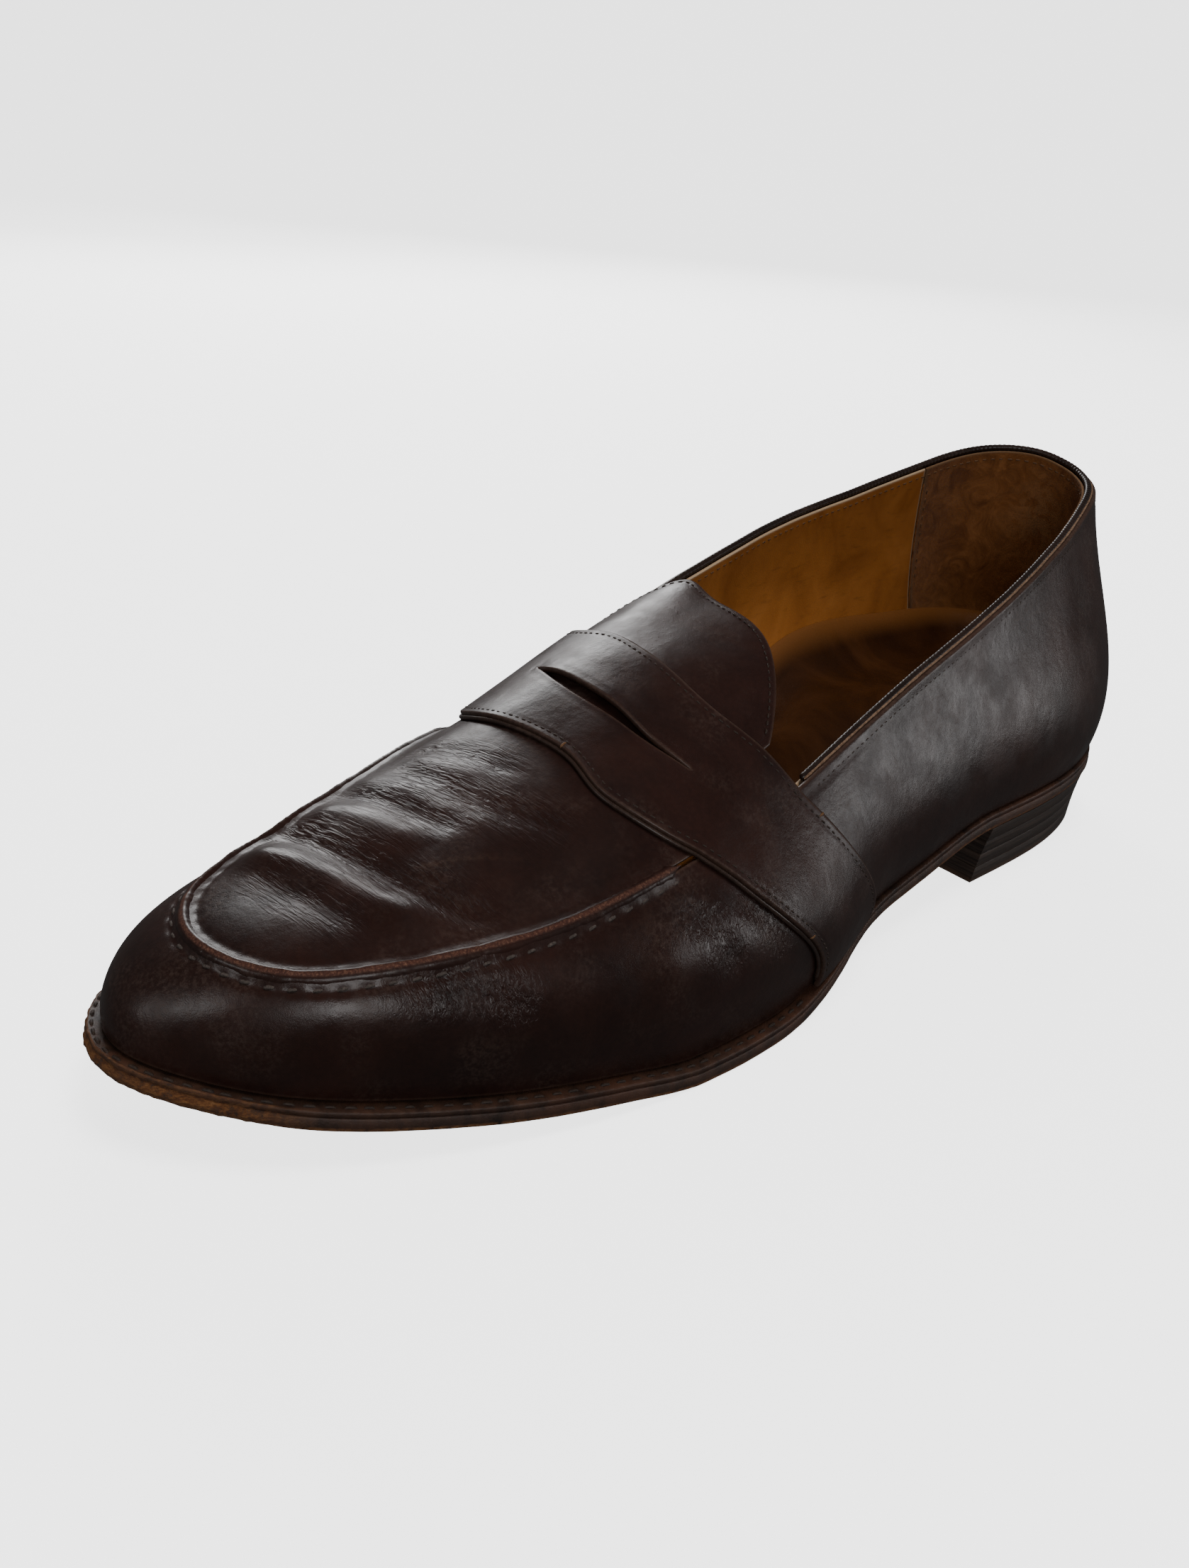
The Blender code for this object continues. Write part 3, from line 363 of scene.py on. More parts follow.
def pad_thickness(reach):
    return PAD_THIN + (PAD_THICKNESS - PAD_THIN) * (1 - smooth((reach - PAD_FULL_REACH) / PAD_SLOPE))


def sock_lift(reach):
    """Height of the sock above the insole, over the heel pad and down in front of it."""
    return (pad_thickness(reach) + GAP) * (1 - smooth((reach - SOCK_DROP_REACH) / SOCK_DROP_LENGTH))


def world(point):
    """(out, reach, height) to (X, Y, Z), still in millimetres."""
    point = np.asarray(point, float)
    return np.stack([point[..., 0], HALF_LENGTH - point[..., 1], point[..., 2]], -1)


def outward(turn, rise):
    """Unit outward normals in world axes; a crease gets the mean of its two sides."""
    step = 0.004
    turn, rise = np.broadcast_arrays(np.asarray(turn, float), np.asarray(rise, float))
    middle = np.minimum(rise, MEASURED_RISE)
    along = world(last_point(turn + step, middle)) - world(last_point(turn - step, middle))

    def normal(low, high):
        climb = world(last_point(turn, high)) - world(last_point(turn, low))
        return unit(np.cross(climb, along), 1e-12)

    below = normal(np.clip(rise - step, 0, 2), np.clip(rise, step, 2))
    above = normal(np.clip(rise, 0, 2 - step), np.clip(rise + step, 0, 2))
    no_instep = (rise >= 1.0) & (fold(turn) < turn_of(TONGUE_STATION))
    above = np.where(no_instep[..., None], below, above)
    _, slope = ridge_point(turn)
    top = unit(np.stack([np.zeros_like(slope), slope, np.ones_like(slope)], -1))
    near_ridge = smooth((rise - RIDGE_RISE) / 0.1)[..., None]
    return unit(unit(below + above) * (1 - near_ridge) + top * near_ridge)


def outline(turn, inset):
    """Plan points of the sole's edge moved in by an inset."""
    row = loop_curve(turn)
    return row[..., :2] + plan_normal(turn) * (row[..., 8] - inset)[..., None]


def bow(table, lanes):
    knots, values = zip(*table)
    return spline(knots, values)(np.clip(lanes, knots[0], knots[-1]))


def strap_rear(lanes):
    return turn_of(STRAP_REAR) + bow(STRAP_REAR_BOW, lanes)


def strap_front(lanes):
    return turn_of(STRAP_FRONT) + bow(STRAP_FRONT_BOW, lanes)


def slit_lips(lanes):
    """Turns of the slit's rear and front lips; beyond its ends both follow the strap's middle."""
    inside = np.clip(lanes, SLIT_LATERAL, SLIT_MEDIAL)
    past = np.abs(lanes - inside)
    line = turn_of(STRAP_MIDDLE) + bow(SLIT_BOW, inside) * np.exp(-(past / SLIT_FADE_LANE) ** 2)
    half = 0.5 * bow(SLIT_OPENING, inside)
    return line - half, line + half


def tongue_back(lanes):
    """Turn of the tongue's round rear edge."""
    half = (TONGUE_MEDIAL - TONGUE_LATERAL) / 2
    across_share = np.clip((lanes - TONGUE_LATERAL) / half - 1, -1, 1)
    edge = 1 - (1 - across_share ** 2) ** TONGUE_ROUNDING
    rear = turn_of(TONGUE_REAR_STATION)
    front = strap_rear(lanes) - BUTT / 2
    return rear + (front - rear) * TONGUE_CORNER_SHARE * edge


# ---------------------------------------------------------------- where the CAD stands

NAIL_PLACE = (0.0, 14.0)


def cad_shift():
    """How far the CAD moved the shoe to centre it, read from the first heel nail."""
    low, high = (np.array(corner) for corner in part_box("heel_nail_1"))
    middle = (low + high) / 2
    place = np.array([NAIL_PLACE[0], HALF_LENGTH - NAIL_PLACE[1]]) * MM
    return np.array([middle[0] - place[0], middle[1] - place[1], 0.0])


SHIFT = cad_shift()


# ---------------------------------------------------------------- camera, floor, lights

CAMERA_PLACE = (197.7, -253.7, 172.2)
CAMERA_AZIMUTH = 42.2
CAMERA_ELEVATION = 24.1
CAMERA_ROLL = 5.6
CAMERA_LENS = 35.94
SENSOR_WIDTH = 36.0
CLIP_START = 0.01

# Softboxes, in metres and watts: place, size, power, and whether reflections show them.
LIGHT_TARGET = (0.0, 0.0, 0.04)
LIGHTS = {
    "softbox_back": ((-1.0, 0.55, 0.5), (0.55, 0.4), 4.8, True),
    "softbox_side": ((0.9, -0.75, 0.5), (0.6, 0.4), 4.6, True),
    "softbox_rear": ((0.95, 0.95, 0.14), (0.6, 0.3), 2.6, True),
    "softbox_front": ((-0.35, -1.2, 0.55), (0.5, 0.3), 1.8, True),
    "softbox_top": ((0.2, 0.1, 1.35), (0.6, 0.6), 12.0, False),
    "softbox_inner": ((-0.9, 0.9, 0.6), (0.8, 0.8), 6.0, False),
}
WORLD_STRENGTH = 0.07

# The floor, in metres: its half width, where it bends up into a wall, and the wall's top.
FLOOR_HALF = 3.0
BEND_START = 1.6
BEND_RADIUS = 0.8
WALL_HEIGHT = 3.0
FLOOR_GLOW = 2.6


def make_camera():
    around, up, roll = (math.radians(v) for v in (CAMERA_AZIMUTH, CAMERA_ELEVATION, CAMERA_ROLL))
    back = Vector((math.sin(around) * math.cos(up), -math.cos(around) * math.cos(up), math.sin(up)))
    right = Vector((math.cos(around), math.sin(around), 0.0))
    above = back.cross(right)
    side = math.cos(roll) * right + math.sin(roll) * above
    top = -math.sin(roll) * right + math.cos(roll) * above
    data = bpy.data.cameras.new("camera")
    data.lens = CAMERA_LENS
    data.sensor_width = SENSOR_WIDTH
    data.clip_start = CLIP_START
    thing = bpy.data.objects.new("camera", data)
    turn = Matrix((side, top, back)).transposed().to_4x4()
    place = Vector(CAMERA_PLACE) * MM + Vector(SHIFT)
    thing.matrix_world = Matrix.Translation(place) @ turn
    bpy.context.scene.collection.objects.link(thing)
    bpy.context.scene.camera = thing


def make_lights():
    for name, (place, size, power, reflected) in LIGHTS.items():
        data = bpy.data.lights.new(name, "AREA")
        data.shape = "RECTANGLE"
        data.size, data.size_y = size
        data.energy = power
        thing = bpy.data.objects.new(name, data)
        way = Vector(LIGHT_TARGET) - Vector(place)
        thing.rotation_euler = way.to_track_quat("-Z", "Y").to_euler()
        thing.location = place
        thing.visible_glossy = reflected
        bpy.context.scene.collection.objects.link(thing)
    world = bpy.data.worlds.new("studio")
    world.use_nodes = True
    back = world.node_tree.nodes["Background"]
    back.inputs["Color"].default_value = (1.0, 1.0, 1.0, 1.0)
    back.inputs["Strength"].default_value = WORLD_STRENGTH
    bpy.context.scene.world = world


def make_floor():
    """A pale sweep: level floor, then a bend up into a wall behind."""
    profile = [(-FLOOR_HALF, 0.0), (BEND_START, 0.0)]
    profile += [(BEND_START + BEND_RADIUS * math.sin(a), BEND_RADIUS - BEND_RADIUS * math.cos(a))
                for a in np.linspace(0.1, math.pi / 2, 12)]
    profile.append((BEND_START + BEND_RADIUS, WALL_HEIGHT))
    way = math.radians(CAMERA_AZIMUTH)
    points, faces = [], []
    for along, height in profile:
        for side in (-FLOOR_HALF, FLOOR_HALF):
            points.append((side * math.cos(way) - along * math.sin(way),
                           side * math.sin(way) + along * math.cos(way), height))
    for i in range(len(profile) - 1):
        a = 2 * i
        faces.append((a, a + 1, a + 3, a + 2))
    mesh = bpy.data.meshes.new("floor")
    mesh.from_pydata(points, [], faces)
    mesh.shade_smooth()
    thing = bpy.data.objects.new("floor", mesh)
    bpy.context.scene.collection.objects.link(thing)
    look = Look("pale_floor")
    grain = look.noise(60.0 * MM, detail=3)
    look.set("Base Color", look.ramp(grain, ((0.3, (0.86, 0.86, 0.86)), (0.7, (0.9, 0.9, 0.9)))))
    look.set("Roughness", 0.8)
    look.set("Emission Color", (1.0, 1.0, 1.0))
    look.set("Emission Strength", FLOOR_GLOW)
    mesh.materials.append(look.material)
    thing.visible_glossy = False
    thing.visible_diffuse = False


# ---------------------------------------------------------------- materials

class Look:
    """A node material under construction; coordinates are the object's, in millimetres.

    Scales of noise are per millimetre and depths of relief are millimetres.
    """

    def __init__(self, name):
        self.material = bpy.data.materials.new(name)
        self.material.use_nodes = True
        self.tree = self.material.node_tree
        self.shader = self.tree.nodes["Principled BSDF"]
        place = self.tree.nodes.new("ShaderNodeTexCoord").outputs["Object"]
        self.place = self.scaled(place, (1000.0, 1000.0, 1000.0))

    def feed(self, socket, value):
        if isinstance(value, bpy.types.NodeSocket):
            self.tree.links.new(value, socket)
        elif isinstance(value, tuple) and len(value) == 3 and socket.type == "RGBA":
            socket.default_value = (*value, 1.0)
        else:
            socket.default_value = value

    def set(self, name, value):
        self.feed(self.shader.inputs[name], value)

    def scaled(self, vector, scale):
        node = self.tree.nodes.new("ShaderNodeMapping")
        self.feed(node.inputs["Vector"], vector)
        node.inputs["Scale"].default_value = scale
        return node.outputs["Vector"]

    def noise(self, scale, detail=4, rough=0.55, warp=0.0, stretch=None):
        node = self.tree.nodes.new("ShaderNodeTexNoise")
        self.feed(node.inputs["Vector"], self.scaled(self.place, stretch) if stretch else self.place)
        settings = {"Scale": scale, "Detail": detail, "Roughness": rough, "Distortion": warp}
        for key, number in settings.items():
            node.inputs[key].default_value = number
        return node.outputs["Fac"]

    def cells(self, scale):
        node = self.tree.nodes.new("ShaderNodeTexVoronoi")
        self.feed(node.inputs["Vector"], self.place)
        node.inputs["Scale"].default_value = scale
        return node.outputs["Distance"]

    def height(self):
        node = self.tree.nodes.new("ShaderNodeSeparateXYZ")
        self.feed(node.inputs[0], self.place)
        return node.outputs["Z"]

    def mark(self, name):
        """A float stored on the mesh, such as the distance to the nearest edge."""
        node = self.tree.nodes.new("ShaderNodeAttribute")
        node.attribute_name = name
        return node.outputs["Fac"]

    def math(self, kind, a, b):
        node = self.tree.nodes.new("ShaderNodeMath")
        node.operation = kind
        self.feed(node.inputs[0], a)
        self.feed(node.inputs[1], b)
        return node.outputs[0]

    def times(self, a, b):
        return self.math("MULTIPLY", a, b)

    def plus(self, a, b):
        return self.math("ADD", a, b)

    def span(self, value, low, high, start=0.0, end=1.0):
        node = self.tree.nodes.new("ShaderNodeMapRange")
        node.interpolation_type = "SMOOTHSTEP"
        self.feed(node.inputs["Value"], value)
        for key, number in (("From Min", low), ("From Max", high), ("To Min", start), ("To Max", end)):
            node.inputs[key].default_value = number
        return node.outputs["Result"]

    def ramp(self, value, stops):
        node = self.tree.nodes.new("ShaderNodeValToRGB")
        self.feed(node.inputs["Fac"], value)
        elements = node.color_ramp.elements
        while len(elements) < len(stops):
            elements.new(0.5)
        for element, (at, colour) in zip(elements, stops):
            element.position = at
            element.color = (*colour, 1.0)
        return node.outputs["Color"]

    def blend(self, share, a, b):
        node = self.tree.nodes.new("ShaderNodeMix")
        node.data_type = "RGBA"
        self.feed(node.inputs["Factor"], share)
        self.feed(node.inputs[6], a)
        self.feed(node.inputs[7], b)
        return node.outputs[2]

    def bump(self, height, depth, under=None):
        """Adds relief, `height` 0 to 1 standing for `depth`."""
        node = self.tree.nodes.new("ShaderNodeBump")
        self.feed(node.inputs["Height"], height)
        node.inputs["Distance"].default_value = depth * MM
        node.inputs["Strength"].default_value = 1.0
        if under is not None:
            self.feed(node.inputs["Normal"], under)
        return node.outputs["Normal"]


CALF_DARK = (0.013, 0.0056, 0.0046)
CALF_BROWN = (0.03, 0.0115, 0.0082)


def calf_colour(look, dark, brown, scuff):
    """Mottled brown with scuffs, scrapes, worn edges and the fibres of cut faces."""
    patches = look.noise(0.045, detail=5, rough=0.6, warp=0.4)
    speckle = look.noise(0.9, detail=4, rough=0.7)
    tone = look.plus(look.times(patches, 0.7), look.times(speckle, 0.3))
    middle = tuple(0.5 * (a + b) for a, b in zip(dark, brown))
    colour = look.ramp(tone, ((0.36, dark), (0.52, middle), (0.66, brown)))
    colour = look.blend(look.times(scuff, 0.5), colour, (0.06, 0.037, 0.029))
    rub = look.times(look.mark("rub"), look.span(look.noise(0.55, detail=5, rough=0.75), 0.36, 0.6))
    colour = look.blend(look.times(rub, 0.75), colour, (0.17, 0.1, 0.065))
    worn_edge = look.times(look.span(look.mark("edge"), 0.9, 0.15), look.noise(1.1, detail=4))
    colour = look.blend(look.times(worn_edge, 0.9), colour, (0.085, 0.05, 0.036))
    fibre = look.ramp(look.noise(2.2, detail=5, rough=0.75),
                      ((0.3, (0.028, 0.011, 0.008)), (0.5, (0.07, 0.025, 0.016)), (0.72, (0.2, 0.1, 0.06))))
    return look.blend(look.mark("raw"), colour, fibre)


def calf_relief(look, grain):
    """Pores, a soft uneven surface, and fine wrinkles where the leather folds."""
    pores = look.span(look.cells(2.6), 0.05, 0.5)
    fine = look.plus(look.times(pores, 0.5), look.noise(3.2, detail=3, rough=0.6))
    normal = look.bump(fine, 0.013 * grain)
    normal = look.bump(look.noise(0.32, detail=4, rough=0.6), 0.1 * grain, under=normal)
    lines = look.noise(1.0, detail=3, rough=0.55, warp=0.9, stretch=(0.16, 1.15, 0.6))
    wrinkles = look.times(look.span(lines, 0.35, 0.62), look.mark("crease"))
    return look.bump(wrinkles, 0.16, under=normal)


def calf(name, dark=CALF_DARK, brown=CALF_BROWN, shine=0.33, grain=1.0):
    """Waxed dark-brown calf; `shine` is its mean roughness."""
    look = Look(name)
    scuff = look.times(look.span(look.noise(0.07, detail=2, rough=0.5), 0.45, 0.7),
                       look.span(look.noise(1.1, detail=5, rough=0.75), 0.42, 0.66))
    look.set("Base Color", calf_colour(look, dark, brown, scuff))
    cloudy = look.span(look.noise(0.11, detail=4, rough=0.6), 0.3, 0.7, shine - 0.05, shine + 0.09)
    shade = look.plus(cloudy, look.times(look.mark("raw"), 0.4))
    look.set("Roughness", look.plus(shade, look.times(scuff, 0.06)))
    look.set("Specular IOR Level", 0.4)
    look.set("Normal", calf_relief(look, grain))
    return look.material


def tan_leather(name):
    look = Look(name)
    cloud = look.noise(0.05, detail=5, rough=0.6, warp=0.8)
    colour = look.ramp(cloud, ((0.3, (0.25, 0.085, 0.018)), (0.5, (0.335, 0.12, 0.026)),
                               (0.7, (0.4, 0.15, 0.035))))
    # Darker towards the bottom: below 26 mm above the floor the lining darkens, half way to dark brown at 8
    # mm.
    low_darkening = look.span(look.height(), 26.0, 8.0)
    colour = look.blend(look.times(low_darkening, 0.5), colour, (0.09, 0.035, 0.009))
    streak = look.noise(0.5, detail=4, stretch=(0.3, 0.3, 1.6))
    colour = look.blend(look.span(streak, 0.56, 0.74, 0.0, 0.3), colour, (0.12, 0.045, 0.01))
    look.set("Base Color", look.blend(look.mark("raw"), colour, (0.42, 0.3, 0.19)))
    look.set("Roughness", look.span(look.noise(0.2, detail=3), 0.3, 0.7, 0.42, 0.58))
    look.set("Specular IOR Level", 0.25)
    look.set("Normal", look.bump(look.noise(2.4, detail=4, rough=0.65), 0.05))
    return look.material


def suede(name):
    """Brushed suede, paler low down and rubbed bare at the back of the heel."""
    look = Look(name)
    nap = look.noise(0.13, detail=6, rough=0.68, warp=1.6)
    colour = look.ramp(nap, ((0.3, (0.12, 0.04, 0.011)), (0.5, (0.2, 0.074, 0.02)),
                             (0.72, (0.3, 0.12, 0.037))))
    low = look.span(look.height(), 56.0, 34.0)
    colour = look.blend(look.times(low, 0.45), colour, (0.28, 0.125, 0.04))
    rub = look.times(look.mark("rub"), look.span(look.noise(0.25, detail=5, rough=0.7), 0.42, 0.52))
    colour = look.blend(look.times(rub, 0.6), colour, (0.33, 0.18, 0.08))
    look.set("Base Color", look.blend(look.mark("raw"), colour, (0.16, 0.085, 0.04)))
    look.set("Roughness", 0.95)
    look.set("Specular IOR Level", 0.15)
    look.set("Sheen Weight", 0.06)
    look.set("Sheen Roughness", 0.5)
    look.set("Normal", look.bump(look.noise(2.6, detail=5, rough=0.8), 0.3))
    return look.material


def sock_leather(name):
    """Dark brown footbed leather, paler round its rim."""
    look = Look(name)
    tread = look.noise(0.04, detail=5, rough=0.6, warp=0.7)
    colour = look.ramp(tread, ((0.3, (0.015, 0.0052, 0.002)), (0.5, (0.03, 0.0105, 0.0035)),
                               (0.72, (0.06, 0.022, 0.007))))
    rim = look.span(look.mark("edge"), 6.0, 0.5)
    look.set("Base Color", look.blend(rim, colour, (0.14, 0.053, 0.013)))
    look.set("Roughness", look.span(look.noise(0.3, detail=3), 0.3, 0.7, 0.35, 0.55))
    look.set("Normal", look.bump(look.noise(1.8, detail=4, rough=0.65), 0.06))
    return look.material


def sole_edge(name):
    """Dressed sole edge, worn back to raw tan leather at the toe and along its lower rim."""
    look = Look(name)
    stain = look.noise(0.25, detail=5, rough=0.65)
    dressed = look.ramp(stain, ((0.3, (0.016, 0.009, 0.007)), (0.7, (0.07, 0.035, 0.022))))
    fibre = look.noise(1.3, detail=6, rough=0.75, stretch=(0.5, 0.5, 1.4))
    raw = look.ramp(fibre, ((0.28, (0.045, 0.017, 0.008)), (0.45, (0.14, 0.052, 0.017)),
                            (0.6, (0.26, 0.11, 0.035)), (0.78, (0.4, 0.22, 0.1))))
    patch = look.times(look.mark("wear"), look.span(look.noise(0.3, detail=6, rough=0.75), 0.3, 0.5))
    rim = look.times(look.mark("raw"), look.span(look.noise(0.5, detail=5, rough=0.7), 0.3, 0.52))
    bare = look.math("MAXIMUM", patch, rim)
    colour = look.blend(bare, dressed, raw)
    rubbed = look.span(look.noise(0.035, detail=5, rough=0.7), 0.48, 0.62, 0.0, 0.55)
    look.set("Base Color", look.blend(rubbed, colour, (0.085, 0.036, 0.02)))
    look.set("Roughness", look.plus(look.times(bare, 0.45), 0.42))
    normal = look.bump(look.noise(2.5, detail=5, rough=0.75), 0.12)
    look.set("Normal", look.bump(look.times(fibre, look.mark("wear")), 0.5, under=normal))
    return look.material


def sole_bottom(name):
    """Oak-tanned sole leather, scratched and darkened where it treads."""
    look = Look(name)
    grain = look.noise(0.6, detail=6, rough=0.7)
    colour = look.ramp(grain, ((0.3, (0.1, 0.052, 0.028)), (0.6, (0.2, 0.115, 0.065)),
                               (0.8, (0.3, 0.19, 0.115))))
    dirt = look.span(look.noise(0.03, detail=6, rough=0.65, warp=1.0), 0.4, 0.62)
    colour = look.blend(look.times(dirt, 0.75), colour, (0.045, 0.03, 0.024))
    scratch = look.span(look.noise(0.35, detail=5, rough=0.7, warp=0.5, stretch=(1.0, 0.08, 1.0)), 0.6, 0.66)
    look.set("Base Color", look.blend(look.times(scratch, 0.5), colour, (0.34, 0.23, 0.15)))
    look.set("Roughness", look.span(grain, 0.3, 0.7, 0.6, 0.85))
    normal = look.bump(look.noise(1.8, detail=5, rough=0.75), 0.15)
    look.set("Normal", look.bump(scratch, 0.12, under=normal))
    return look.material


def heel_stack(name):
    """Stacked heel leather under dark edge dressing: fine level lines, worn at the foot."""
    look = Look(name)
    layers = look.noise(0.9, detail=4, rough=0.7, stretch=(0.03, 0.03, 2.3))
    colour = look.ramp(layers, ((0.34, (0.014, 0.009, 0.0075)), (0.5, (0.032, 0.021, 0.016)),
                                (0.66, (0.065, 0.042, 0.031))))
    scrape = look.span(look.noise(0.4, detail=6, rough=0.75, stretch=(0.3, 0.3, 2.5)), 0.56, 0.7)
    colour = look.blend(look.times(scrape, 0.4), colour, (0.1, 0.065, 0.048))
    foot = look.times(look.span(look.height(), 2.2, 0.2), look.noise(0.5, detail=5, rough=0.7))
    foot = look.math("MINIMUM", look.times(foot, 1.2), 1.0)
    look.set("Base Color", look.blend(foot, colour, (0.14, 0.075, 0.045)))
    look.set("Roughness", look.span(layers, 0.35, 0.65, 0.42, 0.6))
    look.set("Normal", look.bump(layers, 0.14))
    return look.material


def simple(name, low, high, scale, rough, depth, metal=0.0, stretch=None):
    """Two-tone mottled material with matching relief."""
    look = Look(name)
    pattern = look.noise(scale, detail=5, rough=0.65, stretch=stretch)
    look.set("Base Color", look.ramp(pattern, ((0.32, low), (0.68, high))))
    look.set("Roughness", look.span(pattern, 0.3, 0.7, rough - 0.06, rough + 0.06))
    look.set("Metallic", metal)
    look.set("Normal", look.bump(pattern, depth))
    return look.material


# Plain materials: dark and light tone, scale of the pattern, roughness, relief.
SIMPLE = {
    "heel_rubber": ((0.012, 0.011, 0.01), (0.035, 0.03, 0.027), 1.2, 0.75, 0.12),
    "pale_thread": ((0.13, 0.105, 0.085), (0.36, 0.31, 0.26), 2.2, 0.7, 0.12),
    "seam_thread": ((0.025, 0.018, 0.015), (0.09, 0.07, 0.06), 2.2, 0.7, 0.12),
    "dark_thread": ((0.014, 0.009, 0.007), (0.045, 0.028, 0.02), 2.2, 0.65, 0.1),
    "brown_thread": ((0.07, 0.032, 0.014), (0.17, 0.085, 0.035), 2.2, 0.7, 0.1),
    "raw_edge": ((0.09, 0.048, 0.028), (0.24, 0.15, 0.095), 1.4, 0.85, 0.12),
    "cork": ((0.2, 0.11, 0.055), (0.5, 0.33, 0.18), 0.55, 0.9, 0.4),
    "stiffener_board": ((0.36, 0.27, 0.18), (0.56, 0.46, 0.33), 1.1, 0.85, 0.1),
    "insole_leather": ((0.3, 0.18, 0.1), (0.48, 0.33, 0.21), 0.8, 0.8, 0.1),
}


def palette():
    look = {name: simple(name, *values) for name, values in SIMPLE.items()}
    look["calf"] = calf("waxed_calf")
    look["strap"] = calf("waxed_calf_strap", grain=1.25, shine=0.35)
    look["bead"] = calf("waxed_calf_bead", dark=(0.012, 0.0075, 0.006), brown=(0.026, 0.0145, 0.011))
    look["tan"] = tan_leather("tan_lining")
    look["suede"] = suede("brown_suede")
    look["sock"] = sock_leather("sock_leather")
    look["edge"] = sole_edge("dressed_sole_edge")
    look["sole"] = sole_bottom("sole_leather")
    look["heel"] = heel_stack("stacked_heel")
    look["steel"] = simple("spring_steel", (0.4, 0.4, 0.4), (0.58, 0.58, 0.57), 1.2, 0.34, 0.03,
                           metal=1.0, stretch=(6.0, 0.4, 6.0))
    return look


# ---------------------------------------------------------------- the worn surface

# Folds of the worn vamp: height, width, strength of the fine wrinkles, then the
# points (out, reach, height above the floor) that the fold runs through.
FOLDS = (
    (1.7, 4.2, 0.0,
     ((-21, 256.5, 36.5), (-9, 254.5, 39), (0, 253, 39.8), (12, 251.5, 39.5), (24, 247.5, 37.6))),
    (-1.5, 3.4, 1.0,
     ((-24, 247.5, 37.5), (-8, 247, 40.7), (1, 246, 41), (10, 245, 40.7), (19, 242, 40), (30, 236.5, 38))),
    (0.9, 3.6, 0.0, ((-25, 239.5, 38.8), (-15, 237.5, 42.3), (-3, 237, 43.5), (7, 236.5, 43.2))),
    (-0.8, 2.8, 0.9, ((-27, 232, 39.5), (-10, 231, 44.5), (-1, 230.5, 45.2), (9, 229, 44.8))),
    (0.5, 3.4, 0.0, ((-28, 226, 40), (-14, 225.5, 45), (-4, 225, 46.5))),
    (-0.55, 3.2, 1.0,
     ((-22, 220.5, 44.5), (-8, 222.5, 46.9), (3, 222, 47.5), (13, 219.5, 47.7), (25, 214, 46))),
    (0.3, 3.0, 0.0, ((-24, 217, 45), (-12, 217, 48), (0, 216.5, 49.6))),
    (-0.4, 2.4, 0.8, ((-26, 213, 44.5), (-14, 212.5, 48.8), (-1, 212, 50.6), (6, 211, 50.4))),
    (-0.35, 2.6, 0.7, ((-14, 259, 37.2), (-1, 259, 38), (10, 258, 38), (18, 256, 37.3))),
    (-0.55, 3.0, 0.9, ((27, 259, 32), (33, 248, 31.5), (37, 242, 28.5), (41, 236, 24))),
    (-0.5, 3.0, 0.8, ((40, 206, 37), (45, 199, 32.5), (47.6, 196, 27), (49, 192.5, 20))),
    (-0.45, 2.6, 0.8, ((42, 191, 36), (45.7, 185.6, 30.7), (48.1, 181.2, 24.7), (49, 178, 18))),
    (0.5, 5.0, 0.0, ((43, 214, 33), (46, 209, 27), (47.5, 205, 21))),
    (-0.7, 3.4, 0.9, ((-31, 240, 37), (-38, 234, 31), (-42, 229, 24))),
    (0.6, 4.5, 0.0, ((-33, 231, 37.5), (-40, 225, 31), (-43.5, 220, 24))),
    (-0.6, 3.2, 0.8, ((-33, 221, 39), (-41, 213, 33), (-45, 206, 25))),
)
# Length over which a fold fades at its ends, and how much wider its wrinkles are.
FOLD_FADE = 9.0
WRINKLE_WIDTH = 1.7


def segment_distance(points, a, b):
    way = b - a
    share = np.clip(((points - a) @ way) / (way @ way), 0, 1)
    return np.linalg.norm(points - (a + share[..., None] * way), axis=-1), share


def fold_shape(points, line):
    """Distance to a fold's line and a fade to 0 over its ends."""
    line = np.array(line, float)
    best = np.full(points.shape[:-1], 1e9)
    along = np.zeros(points.shape[:-1])
    start = arc_length(line)
    for i in range(len(line) - 1):
        distance, share = segment_distance(points, line[i], line[i + 1])
        nearer = distance < best
        best = np.where(nearer, distance, best)
        along = np.where(nearer, start[i] + share * (start[i + 1] - start[i]), along)
    fade = smooth(along / FOLD_FADE + 0.25) * smooth((start[-1] - along) / FOLD_FADE + 0.1)
    return best, fade


def wear_fields(points):
    """Height of the folds, and strength of the fine wrinkles, at last points."""
    lift = np.zeros(points.shape[:-1])
    wrinkle = np.zeros(points.shape[:-1])
    for height, width, fine, line in FOLDS:
        distance, fade = fold_shape(points, line)
        lift += height * fade * np.exp(-(distance / width) ** 2)
        wrinkle = np.maximum(wrinkle, fine * fade * np.exp(-(distance / (WRINKLE_WIDTH * width)) ** 2))
    return lift, wrinkle


# Scrapes in the finish: width, strength, then the points they run through, as for the folds.
SCRAPES = (
    (0.7, 0.9, ((9.4, 240.5, 42.6), (13.2, 234.1, 44.2), (17, 229.6, 44.8), (22.1, 224.5, 45.2))),
    (5.0, 0.55, ((42.5, 214.5, 34.2), (42.9, 210.5, 34.2))),
    (1.6, 0.5, ((38, 236, 22), (33, 249, 20.5), (20, 263, 18.5), (4, 269, 18), (-12, 267, 18.5))),
)


def scrapes(points):
    """Strength of the scrapes at last points."""
    total = np.zeros(points.shape[:-1])
    for width, strength, line in SCRAPES:
        distance, fade = fold_shape(points, line)
        total = np.maximum(total, strength * fade * np.exp(-(distance / width) ** 2))
    return total


# Slow swell and pull of real leather: period along reach and out, and height.
SWELL = ((43.0, 37.0, 0.16), (27.0, 31.0, 0.08), (14.5, 17.0, 0.025))


